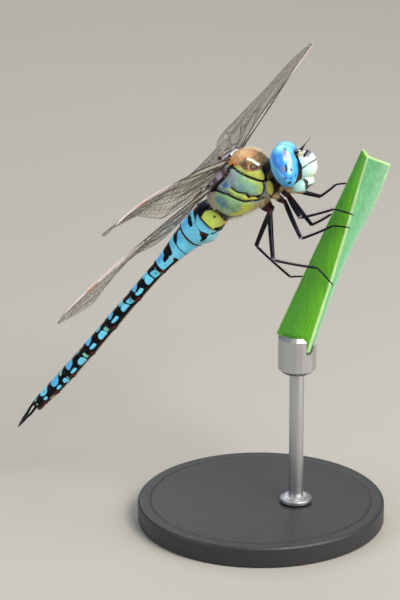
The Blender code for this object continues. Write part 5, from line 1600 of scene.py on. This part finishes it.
# Fine pale hairs on the thorax, thickest below and on the front, lying back along the body.
def makeHairs():
    flat, normal, tint, side, place = thoraxSurface
    random = np.random.default_rng(hairs["seed"])
    turn = math.radians(thoraxShape["pitch"])
    axis = np.array([math.cos(turn), 0.0, math.sin(turn)])
    chosen = []
    for count, weight in ((hairs["front"], ease(side[:, 0], 1.8, 2.8) * ease(side[:, 1], 0.4, 1.5)),
                          (hairs["belly"], ease(-side[:, 1], 2.3, 3.2)),
                          (hairs["rear"], ease(-side[:, 0], 3.6, 4.6))):
        chosen.append(random.choice(len(flat), count, replace=False, p=weight / weight.sum()))
    chosen = np.concatenate(chosen)
    aims = normal[chosen] * 0.75 - axis * 0.65 + random.normal(0, 0.16, (len(chosen), 3))
    lengths = random.uniform(*hairs["length"], len(chosen))
    low = np.min(side, axis=0)
    reach = np.ptp(side, axis=0)
    angle = np.arctan2(place[chosen, 1], side[chosen, 1]) / (2 * np.pi) + 0.5
    places = np.stack([angle * 0.99, (side[chosen, 0] - low[0]) / reach[0] * 0.99], 1)
    shades = linear(hairs["pale"]) * 0.9 + tint[chosen] * 0.1
    makeCoat("coat_thorax_hairs", flat[chosen] - normal[chosen] * 0.02, aims, lengths,
             np.full(len(chosen), hairs["radius"]), 0.15, places, shades, "chitin_thorax_leathery")


makeLegs()
makeSpines()
makeHairs()
print("legs, spines and hairs made")


leaf = {
    "low": (12.1, 0, -1), "pitch": 66.6, "from": -2.5, "to": 27.5,
    "stations": (-2.5, 9, 14.7, 20, 27.5), "ridgeOut": (5.1, 3.7, 2.95, 2.2, 1.25),
    "ridgeRight": (0.5, 0.5, 0.7, 0.95, 1.3), "outerTurn": (97, 86, 72, 48, 20),
    "inner": 3.6, "outer": 3.2,              # widths of the two halves
    "thick": ((-1, 0.1), (-0.9, 0.22), (-0.2, 0.26), (0, 0.3), (0.2, 0.24), (0.9, 0.18), (1, 0.07)),
    "veins": 0.36, "ridge": 0.018, "rows": 240, "columns": 150, "stripe": "#3a7d20",
    # the held half's lit-through green and the outer half's bluer, paler greens are painted light
    "held": "#4f9f2a", "litThroughGreen": "#6cc81a", "midrib": "#e6fbc0", "outerReflectedGreen": "#74bd88",
    "outerPaleReflection": "#a3d9b4", "edge": "#d4eda4", "cut": "#b9d58a",
}


# The leaf's middle surface: along the held edge, then across by two straight halves that meet at
# the midrib with a softened fold. across runs from -1 at the held edge to 1 at the outer edge.
def leafSurface(along, across):
    pitch = math.radians(leaf["pitch"])
    rise = np.array([math.cos(pitch), 0.0, math.sin(pitch)])
    outward = np.array([rise[2], 0.0, -rise[0]])
    left = np.array([0.0, 1.0, 0.0])
    out, right, turn = (curveThrough(along, leaf["stations"], leaf[key])
                        for key in ("ridgeOut", "ridgeRight", "outerTurn"))
    turn = np.radians(turn)
    ridge = np.stack([out, -right], -1)[:, None, :]
    edge = ridge + leaf["outer"] * np.stack([np.cos(turn), np.sin(turn)], -1)[:, None, :]
    inner, outer = np.clip(-across, 0, 1)[None, :, None], np.clip(across, 0, 1)[None, :, None]
    flat = ridge * (1 - inner) + (edge - ridge) * outer
    # the fold is rounded by easing both halves towards their average near the midrib
    soft = 0.16 * np.exp(-(across / 0.13) ** 2)[None, :, None]
    flat = flat + soft * (-ridge * 0.5 / np.linalg.norm(ridge, axis=-1, keepdims=True)
                          + (edge - ridge) * 0.5 / leaf["outer"])
    held = np.array(leaf["low"]) + along[:, None, None] * rise
    return held + flat[..., :1] * outward + flat[..., 1:] * left


# The leaf is a slab about that surface, ribbed by the cosine of the width over the veins' spacing
# and waved a little along its length.
def makeLeaf():
    # Fresh strap leaf: soft green blade with a thin wax bloom; long streaks run with the veins.
    waxed, tree, shader, place = newMaterial("leaf_blade_fresh_waxed", {
        "IOR": 1.45, "Coat Weight": 0.15, "Coat Roughness": 0.35})
    laid = addNode(tree, "ShaderNodeMapping", inputs={"Vector": place, "Scale": (1.0, 1.0, 0.06),
                   "Rotation": (0, math.radians(90 - leaf["pitch"]), 0)}).outputs["Vector"]
    streak = addGrain(tree, shader, laid, 0.35, {"Roughness": (0.42, 0.58)}, 0, 3.0)
    addTint(tree, shader, streak, 0.14)
    addGrain(tree, shader, laid, 0.12, {}, 0.02)

    along = np.linspace(leaf["from"], leaf["to"], leaf["rows"])
    across = np.linspace(-1, 1, leaf["columns"])
    middle = leafSurface(along, across)
    normal = unit(np.cross(np.gradient(middle, axis=0), np.gradient(middle, axis=1)))
    half = np.interp(across, *zip(*leaf["thick"]))
    width = np.where(across < 0, leaf["inner"], leaf["outer"])
    ribs = leaf["ridge"] * np.cos(across * width / leaf["veins"] * 2 * np.pi)
    ribs = ribs * ease(1 - np.abs(across), 0.02, 0.1)
    wave = 0.05 * np.sin(along / 4.3)[:, None] * across
    thick = (half + ribs)[None, :, None]
    middle = middle + normal * wave[..., None]
    rings = np.concatenate([middle + normal * thick, (middle - normal * thick)[:, ::-1]], axis=1)
    q = np.concatenate([across, across[::-1]])[None, :] * np.ones((len(along), 1))
    w = along[:, None] * np.ones((1, 2 * len(across)))
    q, w = q.ravel(), w.ravel()
    tint = plainTint(leaf["held"], q)
    # Painted light: the held half brightens to a lit-through yellow-green towards the midrib; the outer half,
    # turned from the light, takes a paler, bluer green of painted sky reflection, paler still towards its
    # edge; the midrib's pale line is partly its own colour, partly a painted highlight.
    paint(tint, ease(q, -0.75, -0.15) * 0.8, leaf["litThroughGreen"])
    paint(tint, ease(q, 0.0, 0.03), leaf["outerReflectedGreen"])
    paint(tint, ease(q, 0.35, 0.9) * 0.7, leaf["outerPaleReflection"])
    paint(tint, bell(q, 0.0, 0.011), leaf["midrib"])
    paint(tint, ease(q, 0.955, 0.99), leaf["edge"])
    paint(tint, (1 - ease(q, -0.99, -0.965)) * 0.7, leaf["edge"])
    stripe = np.cos(q * np.where(q < 0, leaf["inner"], leaf["outer"]) / leaf["veins"] * 2 * np.pi)
    paint(tint, ease(stripe, 0.2, 1.0) * 0.2, leaf["stripe"])
    ends = 1 - ease(np.minimum(w - leaf["from"], leaf["to"] - w), 0.0, 0.25)
    paint(tint, ends * 0.7, leaf["cut"])
    makePiece("leaf_blade", slab(rings), waxed, ("stand_perch",), tint)


makeLeaf()
print("leaf made")


standLook = {"paint": "#26272a", "steel": "#c3c4c6", "baseSides": 160, "rodSides": 64, "crease": 40}


# A turned piece: a profile of radius and height carried round an upright axis.
def turned(profile, axis, around):
    radii, heights = np.array(profile, float).T
    angle = np.arange(around) * 2 * np.pi / around
    ring = np.stack([np.cos(angle), np.sin(angle)], 1)
    heights = np.repeat(heights[:, None, None], around, 1)
    rings = np.concatenate([radii[:, None, None] * ring[None], heights], -1)
    return shell(rings + np.array([axis[0], axis[1], 0.0]))


# Rounds the corners of an open profile: three points on an arc of the given size at each corner.
def softProfile(profile, size):
    points = [np.array(point, float) for point in profile]
    made = [points[0]]
    for before, corner, after in zip(points, points[1:], points[2:]):
        first, second = unit(before - corner) * size, unit(after - corner) * size
        for share in (0.0, 0.25, 0.5, 0.75, 1.0):
            made.append(corner + first * (1 - share) ** 2 + second * share**2)
    made.append(points[-1])
    return made


# The base is a disc with a groove round its top, the rod is plain with a stepped foot, and the clip
# is the frame's own, in the rod's steel.
def makeStand():
    # Powder coat: baked plastic grains that leave a fine orange peel and a satin shine.
    powder, tree, shader, place = newMaterial("steel_powder_coated_black", {
        "Base Color": (*linear(standLook["paint"]), 1), "IOR": 1.5, "Coat Weight": 0.1,
        "Coat Roughness": 0.4})
    addGrain(tree, shader, place, 0.5, {"Roughness": (0.42, 0.58)}, 0.03)
    # Turned steel: fine rings left by the tool, 0.1 mm apart, which stretch the highlights upright.
    brushed, tree, shader, place = newMaterial("steel_turned_brushed", {
        "Base Color": (*linear(standLook["steel"]), 1), "Metallic": 1.0})
    rings = addNode(tree, "ShaderNodeMapping", inputs={
        "Vector": place, "Scale": (0.05, 0.05, 1.0)}).outputs["Vector"]
    addGrain(tree, shader, rings, 0.1, {"Roughness": (0.34, 0.48)}, 0.008, 3.0)

    sizes = {}
    for node in ("stand_base", "stand_rod", "stand_clip"):
        low, high = (np.array(corner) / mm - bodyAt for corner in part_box(node))
        sizes[node] = ((low + high) / 2, low[2], high[2], (high[0] - low[0]) / 2)
    axis, floor, top, radius = sizes["stand_base"]
    profile = softProfile([(0.5, floor), (radius - 0.4, floor), (radius, floor + 0.3), (radius, top - 0.25),
                           (radius - 0.25, top), (radius - 1.6, top), (radius - 1.75, top - 0.12),
                           (radius - 1.9, top), (0.5, top)], 0.1)
    makePiece("stand_base_plate", turned(profile, axis, standLook["baseSides"]), powder,
              ("stand_base",), crease=standLook["crease"])
    axis, floor, top, radius = sizes["stand_rod"]
    profile = softProfile([(0.1, floor), (radius, floor), (radius, top), (0.1, top)], 0.05)
    makePiece("stand_rod_turned", turned(profile, axis, standLook["rodSides"]), brushed,
              ("stand_rod",), crease=standLook["crease"])
    foot = softProfile([(radius * 0.9, floor + 0.02), (radius + 1.2, floor + 0.02),
                        (radius + 1.2, floor + 0.5), (radius + 0.5, floor + 0.9),
                        (radius * 0.9, floor + 0.9)], 0.08)
    makePiece("stand_rod_ferrule", turned(foot, axis, standLook["rodSides"]), brushed,
              (), crease=standLook["crease"])
    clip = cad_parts["stand_clip"]
    clip.data.materials.clear()
    clip.data.materials.append(brushed)


makeStand()
print("stand made")
